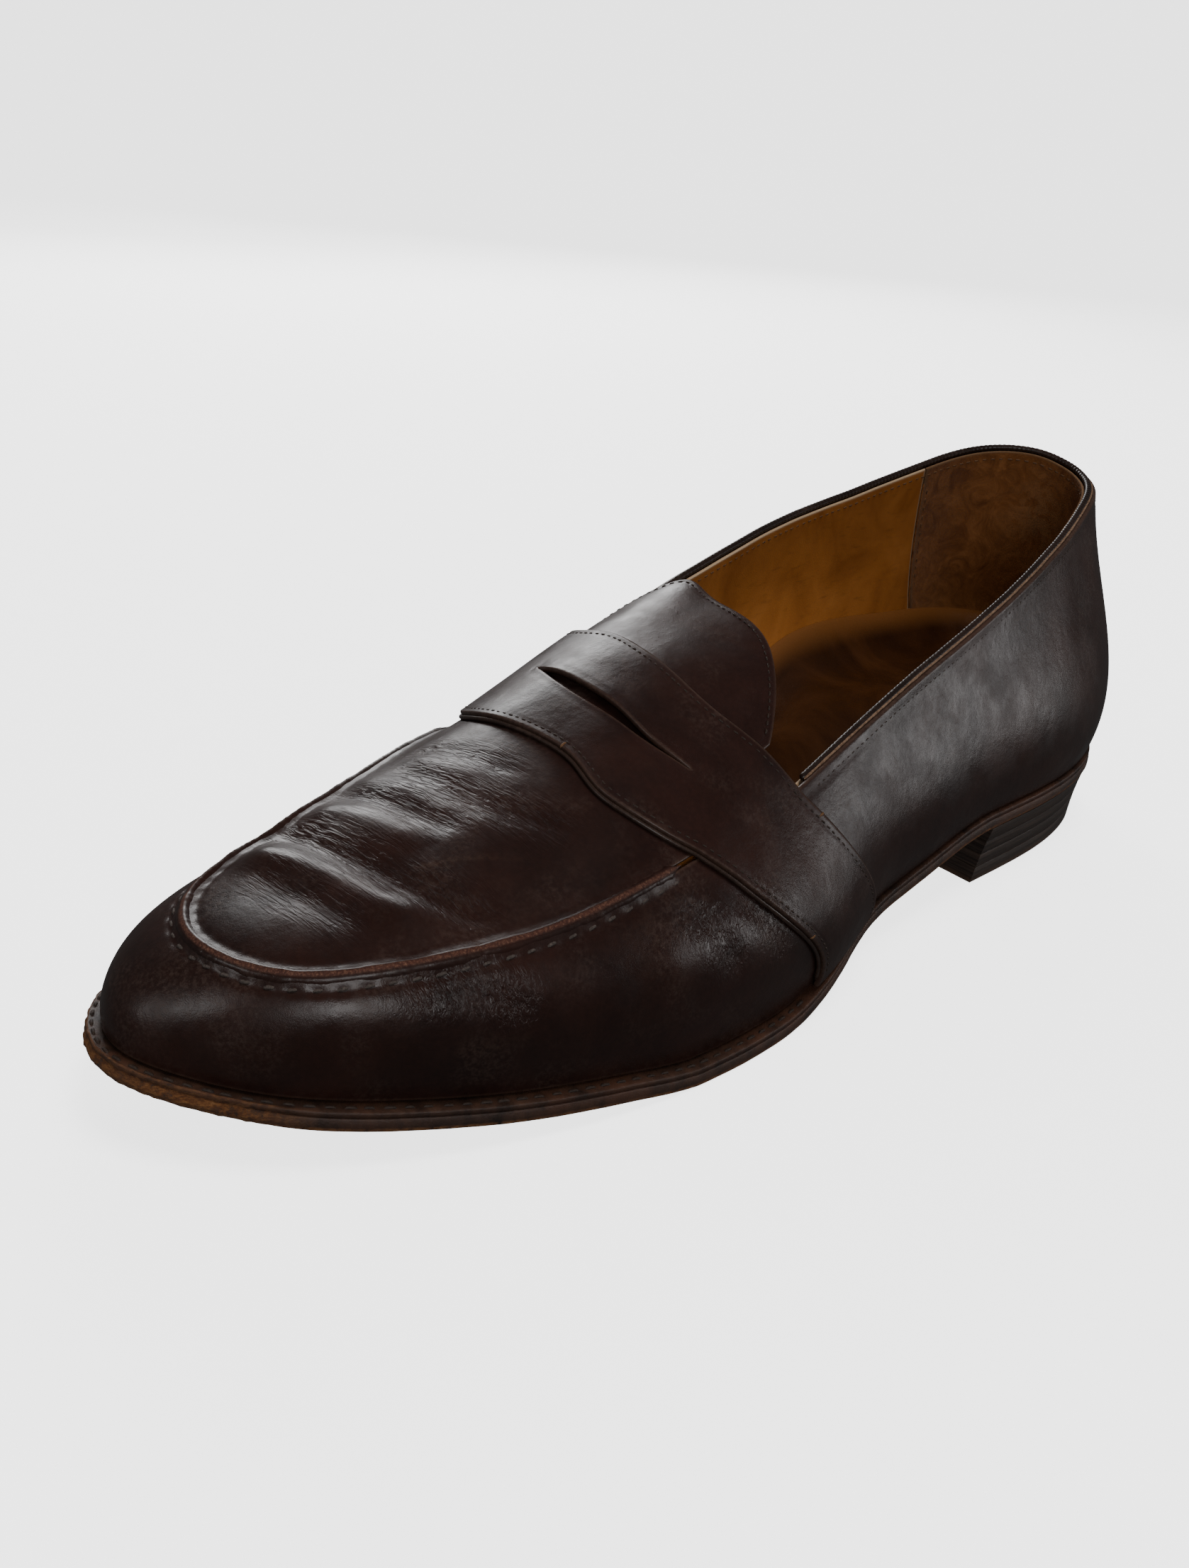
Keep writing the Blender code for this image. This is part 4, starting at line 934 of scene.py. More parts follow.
def swell(points):
    out, reach, height = points[..., 0], points[..., 1], points[..., 2]
    total = np.zeros(out.shape)
    for number, (long_period, wide_period, size) in enumerate(SWELL):
        lengthwise = np.sin(2 * math.pi * (reach / long_period + 0.37 * number) + height / 15.0)
        crosswise = np.cos(2 * math.pi * (out / wide_period + 0.21 * number) + height / 19.0)
        total += size * lengthwise * crosswise
    return total


# Rise over which wear fades out towards the feather edge.
FEATHER_HOLD = 0.15


def worn(turn, rise):
    """World points of the worn face in millimetres, its normals and the wrinkle strength."""
    turn, rise = np.broadcast_arrays(np.asarray(turn, float), np.asarray(rise, float))
    last = last_point(turn, rise)
    lift, wrinkle = wear_fields(last)
    hold = smooth(rise / FEATHER_HOLD)
    normal = outward(turn, rise)
    return world(last) + normal * ((lift + swell(last)) * hold)[..., None], normal, wrinkle


def at_depth(turn, rise, depth):
    face, normal, _ = worn(turn, rise)
    return face - normal * depth


# ---------------------------------------------------------------- meshes

# Floats that the materials read from the mesh, with their values where a piece has none:
# distance to the edge, bare leather, wrinkles, wear of the sole, rubbed places.
USUAL_MARKS = {"edge": 9.0, "raw": 0.0, "crease": 0.0, "wear": 0.0, "rub": 0.0}


def make_object(name, points, faces, look, marks=None, angle=50.0):
    """Object from world millimetres before the CAD's shift, with floats stored on its points."""
    mesh = bpy.data.meshes.new(name)
    placed = np.asarray(points, float) * MM + SHIFT
    mesh.from_pydata(placed.tolist(), [], faces)
    for key, usual in USUAL_MARKS.items():
        values = (marks or {}).get(key, np.full(len(placed), usual))
        stored = mesh.attributes.new(key, "FLOAT", "POINT")
        stored.data.foreach_set("value", np.asarray(values, np.float32).ravel())
    rework(mesh, turn_faces_out, angle)
    mesh.materials.append(look)
    thing = bpy.data.objects.new(name, mesh)
    bpy.context.scene.collection.objects.link(thing)
    return thing


def rework(mesh, change, angle):
    """Changes a mesh, then shades it smooth up to an angle in degrees."""
    work = bmesh.new()
    work.from_mesh(mesh)
    change(work)
    work.to_mesh(mesh)
    work.free()
    mesh.shade_smooth()
    mesh.set_sharp_from_angle(angle=math.radians(angle))


def turn_faces_out(work):
    bmesh.ops.recalc_face_normals(work, faces=work.faces)


def join_halves(work):
    bmesh.ops.remove_doubles(work, verts=work.verts, dist=0.00002)
    bmesh.ops.dissolve_degenerate(work, dist=0.000001, edges=work.edges)


def weld(thing):
    """Joins the two halves of a piece along its middle line."""
    rework(thing.data, join_halves, 50.0)


def tube_faces(rings, corners, around=False, wrap=True):
    """Quads between neighbouring rings of points; `around` joins the last ring to the first."""
    faces = []
    for i in range(rings if around else rings - 1):
        k = (i + 1) % rings
        for j in range(corners if wrap else corners - 1):
            m = (j + 1) % corners
            faces.append((i * corners + j, i * corners + m, k * corners + m, k * corners + j))
    return faces


def rod_faces(rings, corners, first=0):
    """Faces of a tube closed at both ends, its points numbered from `first`."""
    faces = tube_faces(rings, corners)
    faces.append(tuple(reversed(range(corners))))
    faces.append(tuple((rings - 1) * corners + m for m in range(corners)))
    return [tuple(first + corner for corner in face) for face in faces]


def shell_faces(columns, rows, active=None, joined_end=False):
    """Faces between two grids of points; inactive cells are holes."""
    shift = columns * rows
    faces = []
    on = np.ones((columns - 1, rows - 1), bool) if active is None else active
    for i in range(columns - 1):
        for j in range(rows - 1):
            if not on[i, j]:
                continue
            a, d = i * rows + j, i * rows + j + 1
            b, c = a + rows, d + rows
            faces.append((a, b, c, d))
            faces.append((a + shift, d + shift, c + shift, b + shift))
            if i == 0 or not on[i - 1, j]:
                faces.append((d, a, a + shift, d + shift))
            if i == columns - 2 or not on[i + 1, j]:
                faces.append((b, c, c + shift, b + shift))
            if j == 0 or not on[i, j - 1]:
                faces.append((a, b, b + shift, a + shift))
            if (j == rows - 2 and not joined_end) or (j < rows - 2 and not on[i, j + 1]):
                faces.append((c, d, d + shift, c + shift))
    return faces


def border_flags(shape, active, joined_end):
    """Which grid points lie on a free border, slits included."""
    on = np.ones((shape[0] - 1, shape[1] - 1), bool) if active is None else active
    count = np.zeros(shape, int)
    for di in (0, 1):
        for dj in (0, 1):
            count[di:di + on.shape[0], dj:dj + on.shape[1]] += on
    border = (count < 4) & (count > 0)
    if joined_end:
        border[:, -1] = False
        border[0, :] = border[-1, :] = True
    return border


def border_distance(face, border):
    """Distance of every grid point to the nearest one on the border."""
    flat = face.reshape(-1, 3)
    marks = np.flatnonzero(border.ravel())
    tree = kdtree.KDTree(len(marks))
    for number, index in enumerate(marks):
        tree.insert(Vector(flat[index]), number)
    tree.balance()
    distance = np.array([tree.find(Vector(point))[2] for point in flat])
    return distance.reshape(border.shape)


# How far the unseen flesh side of a piece with bare edges shows its own colour.
FLESH_SIDE = 0.8


def both(outer, inner):
    """Values on the outer face's points, then on the inner face's."""
    return np.concatenate([outer.ravel(), inner.ravel()])


def hide(name, turn, rise, depths, look, active=None, joined_end=False, roll=0.35,
         groove=None, raw=0.0, lift=0.0, extra=None, body="shoe", shows_inside=False):
    """A piece of leather on the worn surface, with rolled edges and a stitch groove.

    depths are those of its outer and inner faces.  groove is (distance from the
    edge, depth, width).  raw is the width of bare leather along the edge.  A
    lining shows its inside face.
    """
    face, normal, wrinkle = worn(turn, rise)
    gap = border_distance(face, border_flags(turn.shape, active, joined_end))
    inside = np.clip(1 - gap / roll, 0, 1)
    drop = roll * (1 - np.sqrt(1 - inside ** 2 + 1e-9))
    if groove:
        drop = drop + groove[1] * np.exp(-((gap - groove[0]) / groove[2]) ** 2)
    rounding = np.minimum(drop * 0.5, 0.3 * (depths[1] - depths[0]))
    outer = face + normal * (lift - depths[0] - drop)[..., None]
    inner = face + normal * (lift - depths[1] + rounding)[..., None]
    zero = np.zeros(turn.shape)
    cut = smooth((raw - gap) / max(raw, 0.05) + 0.4) if raw else zero
    back = zero + FLESH_SIDE if raw else zero
    marks = {
        "edge": both(gap, gap if shows_inside else zero),
        "raw": both(back, cut) if shows_inside else both(cut, back),
        "crease": both(wrinkle, wrinkle),
    }
    for key, values in (extra or {}).items():
        marks[key] = both(values, values)
    points = both(outer, inner).reshape(-1, 3)
    faces = shell_faces(*turn.shape, active=active, joined_end=joined_end)
    thing = make_object(name, points, faces, look, marks)
    finish_piece(thing, body)
    return thing


def finish_piece(thing, body="shoe"):
    if body:
        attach(thing, body)


# Grid points close to a free edge, in millimetres from it, and the least distance between any two.
NEAR_EDGE = (0.12, 0.3, 0.6, 1.0)
LEAST_STEP = 0.06


def spread(length, step, ends=(True, True)):
    """Shares 0 to 1 of a length in millimetres, closer together near its free ends."""
    close = np.array(NEAR_EDGE) / length
    parts = [np.linspace(0, 1, max(int(length / step), 4) + 1)]
    if ends[0]:
        parts.append(close)
    if ends[1]:
        parts.append(1 - close)
    shares = np.unique(np.concatenate(parts).round(7))
    keep = [shares[0]]
    for share in shares[1:]:
        if share - keep[-1] > LEAST_STEP / length:
            keep.append(share)
    keep[-1] = 1.0
    return np.array(keep)


# Lengths that a turn of 1 and a rise of 1 stand for, on the walls and over the instep.
ROUND_LENGTH = 345.0
WALL_LENGTH = 55.0
OVER_LENGTH = 45.0


def field(turn_range, rise_range, step=1.0, rise_ends=(True, True)):
    """Grid of turns and rises over a patch, fine near its free edges."""
    width, length = turn_range[1] - turn_range[0], rise_range[1] - rise_range[0]
    across = turn_range[0] + width * spread(width * ROUND_LENGTH, step)
    up = rise_range[0] + length * spread(length * WALL_LENGTH, step, rise_ends)
    return np.meshgrid(across, up, indexing="ij")


def sampled(path, places):
    """Points and normals at places along a path given by its lengths, points and normals."""
    length, points, normals = path
    at = np.stack([np.interp(places, length, points[:, k]) for k in range(3)], -1)
    up = np.stack([np.interp(places, length, normals[:, k]) for k in range(3)], -1)
    return at, unit(up)


STITCH_RINGS = 7
STITCH_SIDES = 7


def one_stitch(at, up, length, radius, lean, size):
    """Points of an arched thread with sunk ends, ring by ring."""
    profile = np.linspace(-1, 1, STITCH_RINGS)
    thickness = np.sqrt(np.clip(1 - profile ** 4, 0.03, 1)) * radius * size
    side = unit(np.cross(up, unit(at[-1] - at[0])))
    slope = lean * profile[:, None] * length / 2
    core = at + side * slope + up * (radius * (0.35 - 0.9 * profile ** 4))[:, None]
    angles = np.linspace(0, 2 * math.pi, STITCH_SIDES, endpoint=False)[None, :, None]
    spoke = np.cos(angles) * side[:, None] + 0.8 * np.sin(angles) * up[:, None]
    return (core[:, None] + spoke * thickness[:, None, None]).reshape(-1, 3)


def stitches(name, points, normals, pitch, length, radius, look, body="shoe", lean=0.0, margin=1.5,
             jitter=0.12, seed=3):
    """A row of single stitches along a path, slightly uneven in length and place."""
    path = arc_length(points), points, normals
    total = path[0][-1]
    count = max(int((total - 2 * margin) / pitch), 1)
    rng = np.random.default_rng(seed)
    profile = np.linspace(-1, 1, STITCH_RINGS)
    verts, faces = [], []
    for centre in margin + (np.arange(count) + 0.5) * (total - 2 * margin) / count:
        size = 1 + jitter * rng.uniform(-1, 1)
        centre = centre + pitch * jitter * 0.5 * rng.uniform(-1, 1)
        at, up = sampled(path, np.clip(centre + profile * length * size / 2, 0, total))
        faces += rod_faces(STITCH_RINGS, STITCH_SIDES, len(verts) * STITCH_RINGS * STITCH_SIDES)
        verts.append(one_stitch(at, up, length, radius, lean, size))
    thing = make_object(name, np.concatenate(verts), faces, look, angle=80.0)
    finish_piece(thing, body)
    return thing


def swept(name, points, normals, profile, look, marks=None, ribs=1.0):
    """A strip with a closed cross-section (side, up) swept along a path on the shoe."""
    count, corners = len(points), len(profile)
    side = unit(np.cross(normals, unit(np.gradient(points, axis=0))))
    from_end = np.minimum(np.arange(count), np.arange(count)[::-1])
    size = (ribs * np.clip(from_end / 3.0 + 0.25, 0, 1))[:, None, None]
    profile = np.array(profile, float)[None]
    spokes = side[:, None] * profile[..., 0:1] + normals[:, None] * profile[..., 1:2]
    placed = points[:, None] + size * spokes
    stored = {key: np.tile(np.array(values, float), count) for key, values in (marks or {}).items()}
    faces = rod_faces(count, corners)
    thing = make_object(name, placed.reshape(-1, 3), faces, look, stored, angle=70.0)
    finish_piece(thing)
    return thing


def round_profile(radius, sides=8, flat=1.0):
    angles = np.linspace(0, 2 * math.pi, sides, endpoint=False)
    return [(radius * math.cos(a), radius * flat * math.sin(a)) for a in angles]


# ---------------------------------------------------------------- upper

# Depths of each layer's faces below the outer leather's face; negative is proud of it.
OUTER = (0.0, 1.3)
STIFF = (1.65, 2.45)
LINING = (2.8, 3.6)
STRAP = (-1.7, -0.4)
TAB = (-1.05, -0.15)
# Rises of the top edge of the walls and the edge of the apron.
WALL_TOP = 0.992
APRON_EDGE = 1.01
TAB_HALF_TURN = 0.022

# Pitch of the hand stitches, and how far rows of stitches run from their edges.
HAND_PITCH = 4.1
TOPLINE_STITCH = 2.5
INNER_STITCH = 2.1
EDGE_STITCH = 1.6
EDGE_GROOVE = (EDGE_STITCH, 0.14, 0.3)
SEAM_STITCH_OUTER = 2.45
SEAM_STITCH_INNER = 2.15

# Stitches of each thread: pitch, length and radius.
SEAM_OUTER_THREAD = (HAND_PITCH, 2.3, 0.36)
SEAM_INNER_THREAD = (HAND_PITCH, 2.0, 0.3)
EDGE_THREAD = (1.9, 1.25, 0.2)
TOPLINE_THREAD = (1.9, 1.25, 0.19)
TACK_THREAD = (1.9, 1.9, 0.3)
LINING_THREAD = (2.3, 1.4, 0.24)
GRIP_THREAD = (2.6, 1.6, 0.28)
WELT_THREAD = (3.4, 2.3, 0.34)

# Heights that the stitches on the strap and on the heel tab lie at, over the worn surface.
STRAP_FACE = 1.56
TAB_FACE = 0.9


def along_columns(turn, rise):
    """Distance along each column from its first point."""
    steps = np.linalg.norm(np.diff(world(last_point(turn, rise)), axis=1), axis=2)
    return np.concatenate([np.zeros((turn.shape[0], 1)), np.cumsum(steps, axis=1)], axis=1)


def below_top(turn, rise):
    """Distance along each column from a point up to the piece's upper edge."""
    total = along_columns(turn, rise)
    return total[:, -1:] - total


def bell(distance, middle, width):
    return np.exp(-((distance - middle) / width) ** 2)


def rise_length(turn, rise, step=0.02):
    """Length that a rise of 1 has close to the given rise."""
    low = last_point(turn, np.full_like(turn, rise))
    return np.linalg.norm(low - last_point(turn, np.full_like(turn, rise + step)), axis=-1) / abs(step)


def rise_at(turn, distance, start=WALL_TOP):
    """The rise a distance in millimetres below a line of constant rise."""
    return start - distance / rise_length(turn, start, -0.02)


def slid(turn, rise, distance):
    """Turns moved along the shoe by a distance; positive goes towards the toe on the outer side."""
    step = 0.003
    moved = last_point(turn + step, rise) - last_point(turn - step, rise)
    return turn + distance / (np.linalg.norm(moved, axis=-1) / (2 * step))


def seam_wave(turn):
    """0 to 1, rising and falling once with each hand stitch along the apron seam."""
    grid = np.linspace(0.3, 1.7, 1200)
    length = arc_length(last_point(grid, np.full_like(grid, 1.0)))
    return 0.5 + 0.5 * np.cos(2 * math.pi * (np.interp(turn, grid, length) / HAND_PITCH))


def seam_ends(turn):
    """1 along the raised apron seam, fading to 0 towards the strap."""
    return smooth((fold(turn) - turn_of(LIP_START)) / 0.03)


def make_quarters(look):
    seam = BUTT / 2
    front = turn_of(STRAP_MIDDLE) - seam
    for name, low, high in (("quarter_lateral_leather", seam, front),
                            ("quarter_medial_leather", 2 - front, 2 - seam)):
        turn, rise = field((low, high), (0.0, WALL_TOP))
        lift = -0.14 * bell(below_top(turn, rise), TOPLINE_STITCH, 0.45)
        piece = hide(name, turn, rise, OUTER, look["calf"], roll=0.55, lift=lift)
        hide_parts(name.replace("_leather", ""))
    turn, rise = field((-TAB_HALF_TURN, TAB_HALF_TURN), (0.76, 0.97), step=0.7)
    piece = hide("heel_tab_leather", turn, rise, TAB, look["calf"], roll=0.4,
                 groove=(1.2, 0.12, 0.3))
    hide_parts("heel_tab")


def make_mudguard(look):
    start = turn_of(STRAP_MIDDLE) + BUTT / 2
    turn, rise = field((start, 2 - start), (0.0, WALL_TOP), step=0.9)
    top = below_top(turn, rise)
    ridge, groove = 0.7 * bell(top, 0, 1.5), (0.1 + 0.3 * seam_wave(turn)) * bell(top, 2.5, 0.75)
    piece = hide("mudguard_leather", turn, rise, OUTER, look["calf"], roll=0.4,
                 lift=seam_ends(turn) * (ridge - groove), extra={"rub": scrapes(last_point(turn, rise))})
    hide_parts("mudguard")


def make_apron(look):
    rear = turn_of(STRAP_REAR) + BUTT / 2
    turn, rise = field((rear, 2 - rear), (APRON_EDGE, 2.0), step=0.9, rise_ends=(True, False))
    inwards = np.clip((fold(turn) - rear) / (turn_of(STRAP_FRONT) - rear), 0, 1)
    outer_side = turn < 1
    follow = bow(STRAP_REAR_BOW, np.where(outer_side, rise - 2, 2 - rise)) * (1 - smooth(inwards))
    turn = turn + np.where(outer_side, follow, -follow)
    inside = along_columns(turn, rise)
    ridge, groove = 0.65 * bell(inside, 0, 1.4), (0.03 + 0.1 * seam_wave(turn)) * bell(inside, 2.2, 0.75)
    piece = hide("apron_leather", turn, rise, OUTER, look["calf"], joined_end=True,
                 lift=seam_ends(turn) * (ridge - groove), extra={"rub": scrapes(last_point(turn, rise))})
    weld(piece)
    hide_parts("apron")


# Turned-up seam of apron and mudguard: (out from the seam, up, bareness) round its section.
LIP = (
    (-1.55, -0.2, 0.0), (-1.2, 0.35, 0.0), (-0.9, 0.8, 0.0), (-0.62, 1.08, 0.1), (-0.4, 1.16, 0.55),
    (-0.12, 1.1, 1.0), (0.16, 1.0, 1.0), (0.36, 0.92, 0.5), (0.62, 0.9, 0.0), (1.0, 0.72, 0.0),
    (1.35, 0.4, 0.0), (1.7, -0.2, 0.0), (1.0, -0.8, 0.0), (-1.0, -0.8, 0.0),
)
LIP_START = 9.15


def seam_turns():
    """Turns along the apron seam, from the near end of the lip to under the strap on the inner side."""
    return np.arange(turn_of(LIP_START), 2 - turn_of(STRAP_MIDDLE), 0.0016)


def uneven(rng, count, width, size):
    """Random factors near 1 along a path, smoothed over `width` neighbours."""
    return 1 + size * np.convolve(rng.uniform(-1, 1, count + width - 1), np.ones(width) / 2.2, "valid")


def make_seam(look):
    turn = seam_turns()
    points, normals, _ = worn(turn, np.full_like(turn, 1.0))
    wobble = uneven(np.random.default_rng(5), len(turn), 7, 0.06)
    wobble *= 0.12 + 0.88 * smooth((fold(turn) - turn_of(LIP_START)) / 0.022)
    profile = [(out, up) for out, up, _ in LIP]
    bare = [raw for _, _, raw in LIP]
    swept("apron_seam_lip", points, normals, profile, look["calf"],
          marks={"raw": bare, "edge": [2.0] * len(LIP)}, ribs=wobble)
    face, up, _ = worn(turn, rise_at(turn, SEAM_STITCH_OUTER, 1.0))
    piece = stitches("apron_seam_stitches_outer", face - 0.3 * up, up, *SEAM_OUTER_THREAD,
                     look["seam_thread"], lean=0.14)
    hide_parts("apron_seam_thread")
    face, up, _ = worn(turn, APRON_EDGE + SEAM_STITCH_INNER / rise_length(turn, 1.03))
    stitches("apron_seam_stitches_inner", face - 0.4 * up, up, *SEAM_INNER_THREAD, look["dark_thread"],
             lean=-0.14, seed=8)


# The strap ends just above the feather edge, at this lane on either side.
LANE_END = 1.985


def strap_lanes():
    """Lanes across the strap, fine near its ends and with points at the slit's ends."""
    fine = 1 / WALL_LENGTH
    near = np.array([0.1, 0.3, 0.6, 1.0]) / WALL_LENGTH
    lanes = np.concatenate([np.arange(-LANE_END, -1, fine), np.arange(-1, 1, 0.8 / OVER_LENGTH),
                            np.arange(1, LANE_END, fine), [LANE_END],
                            [SLIT_LATERAL, SLIT_MEDIAL, 0.0], -LANE_END + near, LANE_END - near])
    lanes = np.unique(lanes.round(5))
    gap = np.diff(lanes, prepend=-9)
    return lanes[gap > 0.0012]


def lane_place(width, lanes):
    """Turn and rise of a point on the instep: lanes run from -2, outer feather, to 2, inner."""
    return np.where(lanes < 0, width, 2 - width), 2 - np.abs(lanes)


def inward_of(rim, up, way):
    """Unit steps across a line on the shoe; way 1 points towards the toe, -1 towards the heel."""
    side = unit(np.cross(np.gradient(rim, axis=0), up))
    towards_toe = -side[len(rim) // 2, 1]
    return side * (way if towards_toe > 0 else -way)


def nearest_height(points, turn, rise):
    """Points dropped onto the worn face near the given turn and rise."""
    face, up, _ = worn(turn, rise)
    return points - up * ((points - face) * up).sum(-1, keepdims=True)


def slit_edges(lanes):
    """The slit's lips at every lane, pinched together at its ends, and the share along it."""
    back_lip, front_lip = slit_lips(lanes)
    part = np.clip((lanes - SLIT_LATERAL) / (SLIT_MEDIAL - SLIT_LATERAL), 0, 1)
    inside = (part > 0) & (part < 1)
    pinch = np.where(inside, 1 - np.abs(2 * part - 1) ** 6, 0.02)
    middle = 0.5 * (back_lip + front_lip)
    return middle + (back_lip - middle) * pinch, middle + (front_lip - middle) * pinch, part


def make_strap(look):
    lanes = strap_lanes()
    rear, front = strap_rear(lanes), strap_front(lanes)
    back_lip, front_lip, part = slit_edges(lanes)
    share = spread(20.0, 0.9)[:, None]
    width = np.concatenate([rear + (back_lip - rear) * share, front_lip + (front - front_lip) * share])
    active = np.ones((len(width) - 1, len(lanes) - 1), bool)
    centre = 0.5 * (lanes[:-1] + lanes[1:])
    active[len(share) - 1, (centre > SLIT_LATERAL) & (centre < SLIT_MEDIAL)] = False
    turn, rise = lane_place(width, np.broadcast_to(lanes, width.shape))
    back_rise = bell(width, back_lip, 0.016) * (width <= back_lip)
    front_dip = bell(width, front_lip, 0.012) * (width >= front_lip)
    lift = np.sin(math.pi * part) * (0.9 * back_rise - 0.2 * front_dip)
    piece = hide("saddle_strap_leather", turn, rise, STRAP, look["strap"], active=active,
                 roll=0.5, groove=EDGE_GROOVE, lift=lift)
    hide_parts("saddle_strap")


def make_strap_edges(look):
    """Stitches and a folded bead along the strap's two edges."""
    lanes = np.linspace(-1.95, 1.95, 420)
    for name, edge, way in (("rear", strap_rear(lanes), 1), ("front", strap_front(lanes), -1)):
        rim, up, _ = worn(*lane_place(edge, lanes))
        inward = inward_of(rim, up, way)
        face = nearest_height(rim + inward * EDGE_STITCH, *lane_place(edge + way * 0.0046, lanes))
        stitches(f"strap_stitches_{name}", face + STRAP_FACE * up, up, *EDGE_THREAD, look["dark_thread"],
                 seed=11)
        swept(f"strap_bead_{name}", rim - inward * 0.3 + 0.5 * up, up, round_profile(0.5), look["bead"],
              marks={"edge": [0.55] * 8})


def make_tacks(look):
    """Thread tacks over the strap's edges, where they are pulled tight."""
    places = ((strap_front, -0.14, -1), (strap_rear, -1.15, 1), (strap_front, -1.62, -1),
              (strap_rear, 1.15, 1), (strap_front, 1.62, -1))
    for number, (edge, lane, way) in enumerate(places):
        lanes = np.full(9, lane)
        turn, rise = lane_place(edge(lanes), lanes)
        sign = 1 if lane < 0 else -1
        place = slid(turn, rise, way * sign * np.linspace(-0.4, 1.7, 9))
        face, up, _ = worn(place, rise)
        stitches(f"strap_tack_{number + 1}", face + 1.5 * up, up, *TACK_THREAD, look["brown_thread"],
                 margin=0.05, jitter=0.0)


def tongue_field():
    """Turn and rise over the tongue, from its round rear edge to just under the strap."""
    ends = 0.5 * (TONGUE_MEDIAL - TONGUE_LATERAL)
    middle = 0.5 * (TONGUE_MEDIAL + TONGUE_LATERAL)
    lanes = middle + ends * np.sin(np.linspace(-1, 1, 120) * math.pi / 2)
    part = np.clip((lanes - middle) / ends, -1, 1)
    back = tongue_back(lanes)
    under = 0.012 * (1 - np.abs(part) ** 4)
    share = spread(24.0, 0.8)[:, None]
    width = back * (1 - share) + (strap_rear(lanes) + under) * share
    return lane_place(width, np.broadcast_to(lanes, width.shape)), lanes, back


def bend_tongue(piece):
    """Bakes the piece's placement into its mesh; the tongue is not split and no flap turns."""
    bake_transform(piece)


def make_tongue(look):
    (turn, rise), lanes, back = tongue_field()
    leather = hide("tongue_leather", turn, rise, (0.0, 1.2), look["calf"], roll=0.5,
                   groove=EDGE_GROOVE, body=None)
    lining = hide("tongue_lining_leather", turn, rise, (1.3, 2.1), look["tan"], roll=0.3,
                  raw=0.5, body=None)
    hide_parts("tongue")
    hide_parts("tongue_lining")
    edge = lane_place(back, lanes)
    rim, up, _ = worn(*edge)
    face = nearest_height(rim + inward_of(rim, up, 1) * EDGE_STITCH, *edge)
    thread = stitches("tongue_stitches", face - 0.06 * up, up, *EDGE_THREAD, look["dark_thread"],
                      seed=14, body=None)
    for piece in (leather, lining, thread):
        bend_tongue(piece)


# ---------------------------------------------------------------- inside

# The heel grip's front edge leans forward: turn at the feather, and its change up to the topline.
GRIP_FOOT = 0.1155
GRIP_LEAN = 0.037
# Grid steps in millimetres; the grip's grid is laid over a turn of 2 and then drawn together.
LINING_STEP = 1.4
GRIP_STEP = 11.2


def grip_line(rise):
    return GRIP_FOOT + GRIP_LEAN * rise


def make_linings(look):
    front = turn_of(STRAP_MIDDLE) - BUTT / 2
    for side, name in enumerate(("lining_lateral", "lining_medial")):
        share, rise = field((0.0, front), (0.0, WALL_TOP), step=LINING_STEP)
        start = grip_line(rise) + BUTT / 2
        turn = start + (front - start) * share / front
        piece = hide(name + "_leather", 2 - turn[::-1] if side else turn, rise, LINING, look["tan"],
                     roll=0.25, raw=0.4, shows_inside=True)
        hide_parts(name)
    share, rise = field((-1.0, 1.0), (0.0, WALL_TOP), step=GRIP_STEP)
    turn = (grip_line(rise) - BUTT / 2) * share
    rub = bell(turn, -0.018, 0.035) * smooth((rise - 0.62) / 0.2) * smooth((0.985 - rise) / 0.06)
    piece = hide("heel_grip_leather", turn, rise, LINING, look["suede"], roll=0.25, raw=0.4,
                 extra={"rub": rub}, shows_inside=True)
    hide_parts("heel_grip")
    front = turn_of(STRAP_MIDDLE)
    turn, rise = field((front + BUTT / 2, 2 - front - BUTT / 2), (0.0, 2.0), step=1.8,
                       rise_ends=(True, False))
    piece = hide("vamp_lining_leather", turn, rise, LINING, look["tan"], joined_end=True)
    weld(piece)
    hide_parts("vamp_lining")
    side = turn_of(PUFF_STATION)
    turn, rise = field((side, 2 - side), (0.06, 1.5), step=2.0)
    piece = hide("toe_puff_board", turn, rise, STIFF, look["stiffener_board"])
    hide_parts("toe_puff")


# Depth that stitches on the linings' visible faces lie at.
INNER_FACE = 3.55


def make_inner_stitches(look):
    end = turn_of(STRAP_REAR) - 0.01
    turn = np.linspace(-end, end, 900)
    face, up, _ = worn(turn, rise_at(turn, INNER_STITCH))
    stitches("topline_stitches_inner", face - INNER_FACE * up, -up, *LINING_THREAD, look["brown_thread"],
             seed=21)
    rise = np.linspace(0.05, 0.93, 200)
    grip = grip_line(rise)
    for name, base, offset in (("lateral", grip, -2.0), ("medial", 2 - grip, 2.0)):
        face, up, _ = worn(slid(base, rise, offset), rise)
        stitches(f"grip_stitches_{name}", face - INNER_FACE * up, -up, *GRIP_THREAD, look["brown_thread"],
                 seed=23)
        rim, up, _ = worn(slid(base, rise, offset * 0.1), rise)
        swept(f"grip_seam_{name}", rim - LINING[1] * up, -up, round_profile(0.4, flat=0.6), look["suede"])


SKY = np.array([0.0, 0.0, 1.0])

# The topline's bead and the raw edge outside it: depth below the outer face, and lift above the rim.
BEAD_DEPTH = 2.05
BEAD_LIFT = 0.45
RIB_PITCH = 1.25
RAW_EDGE_DEPTH = 1.12
RAW_EDGE_LIFT = 0.22


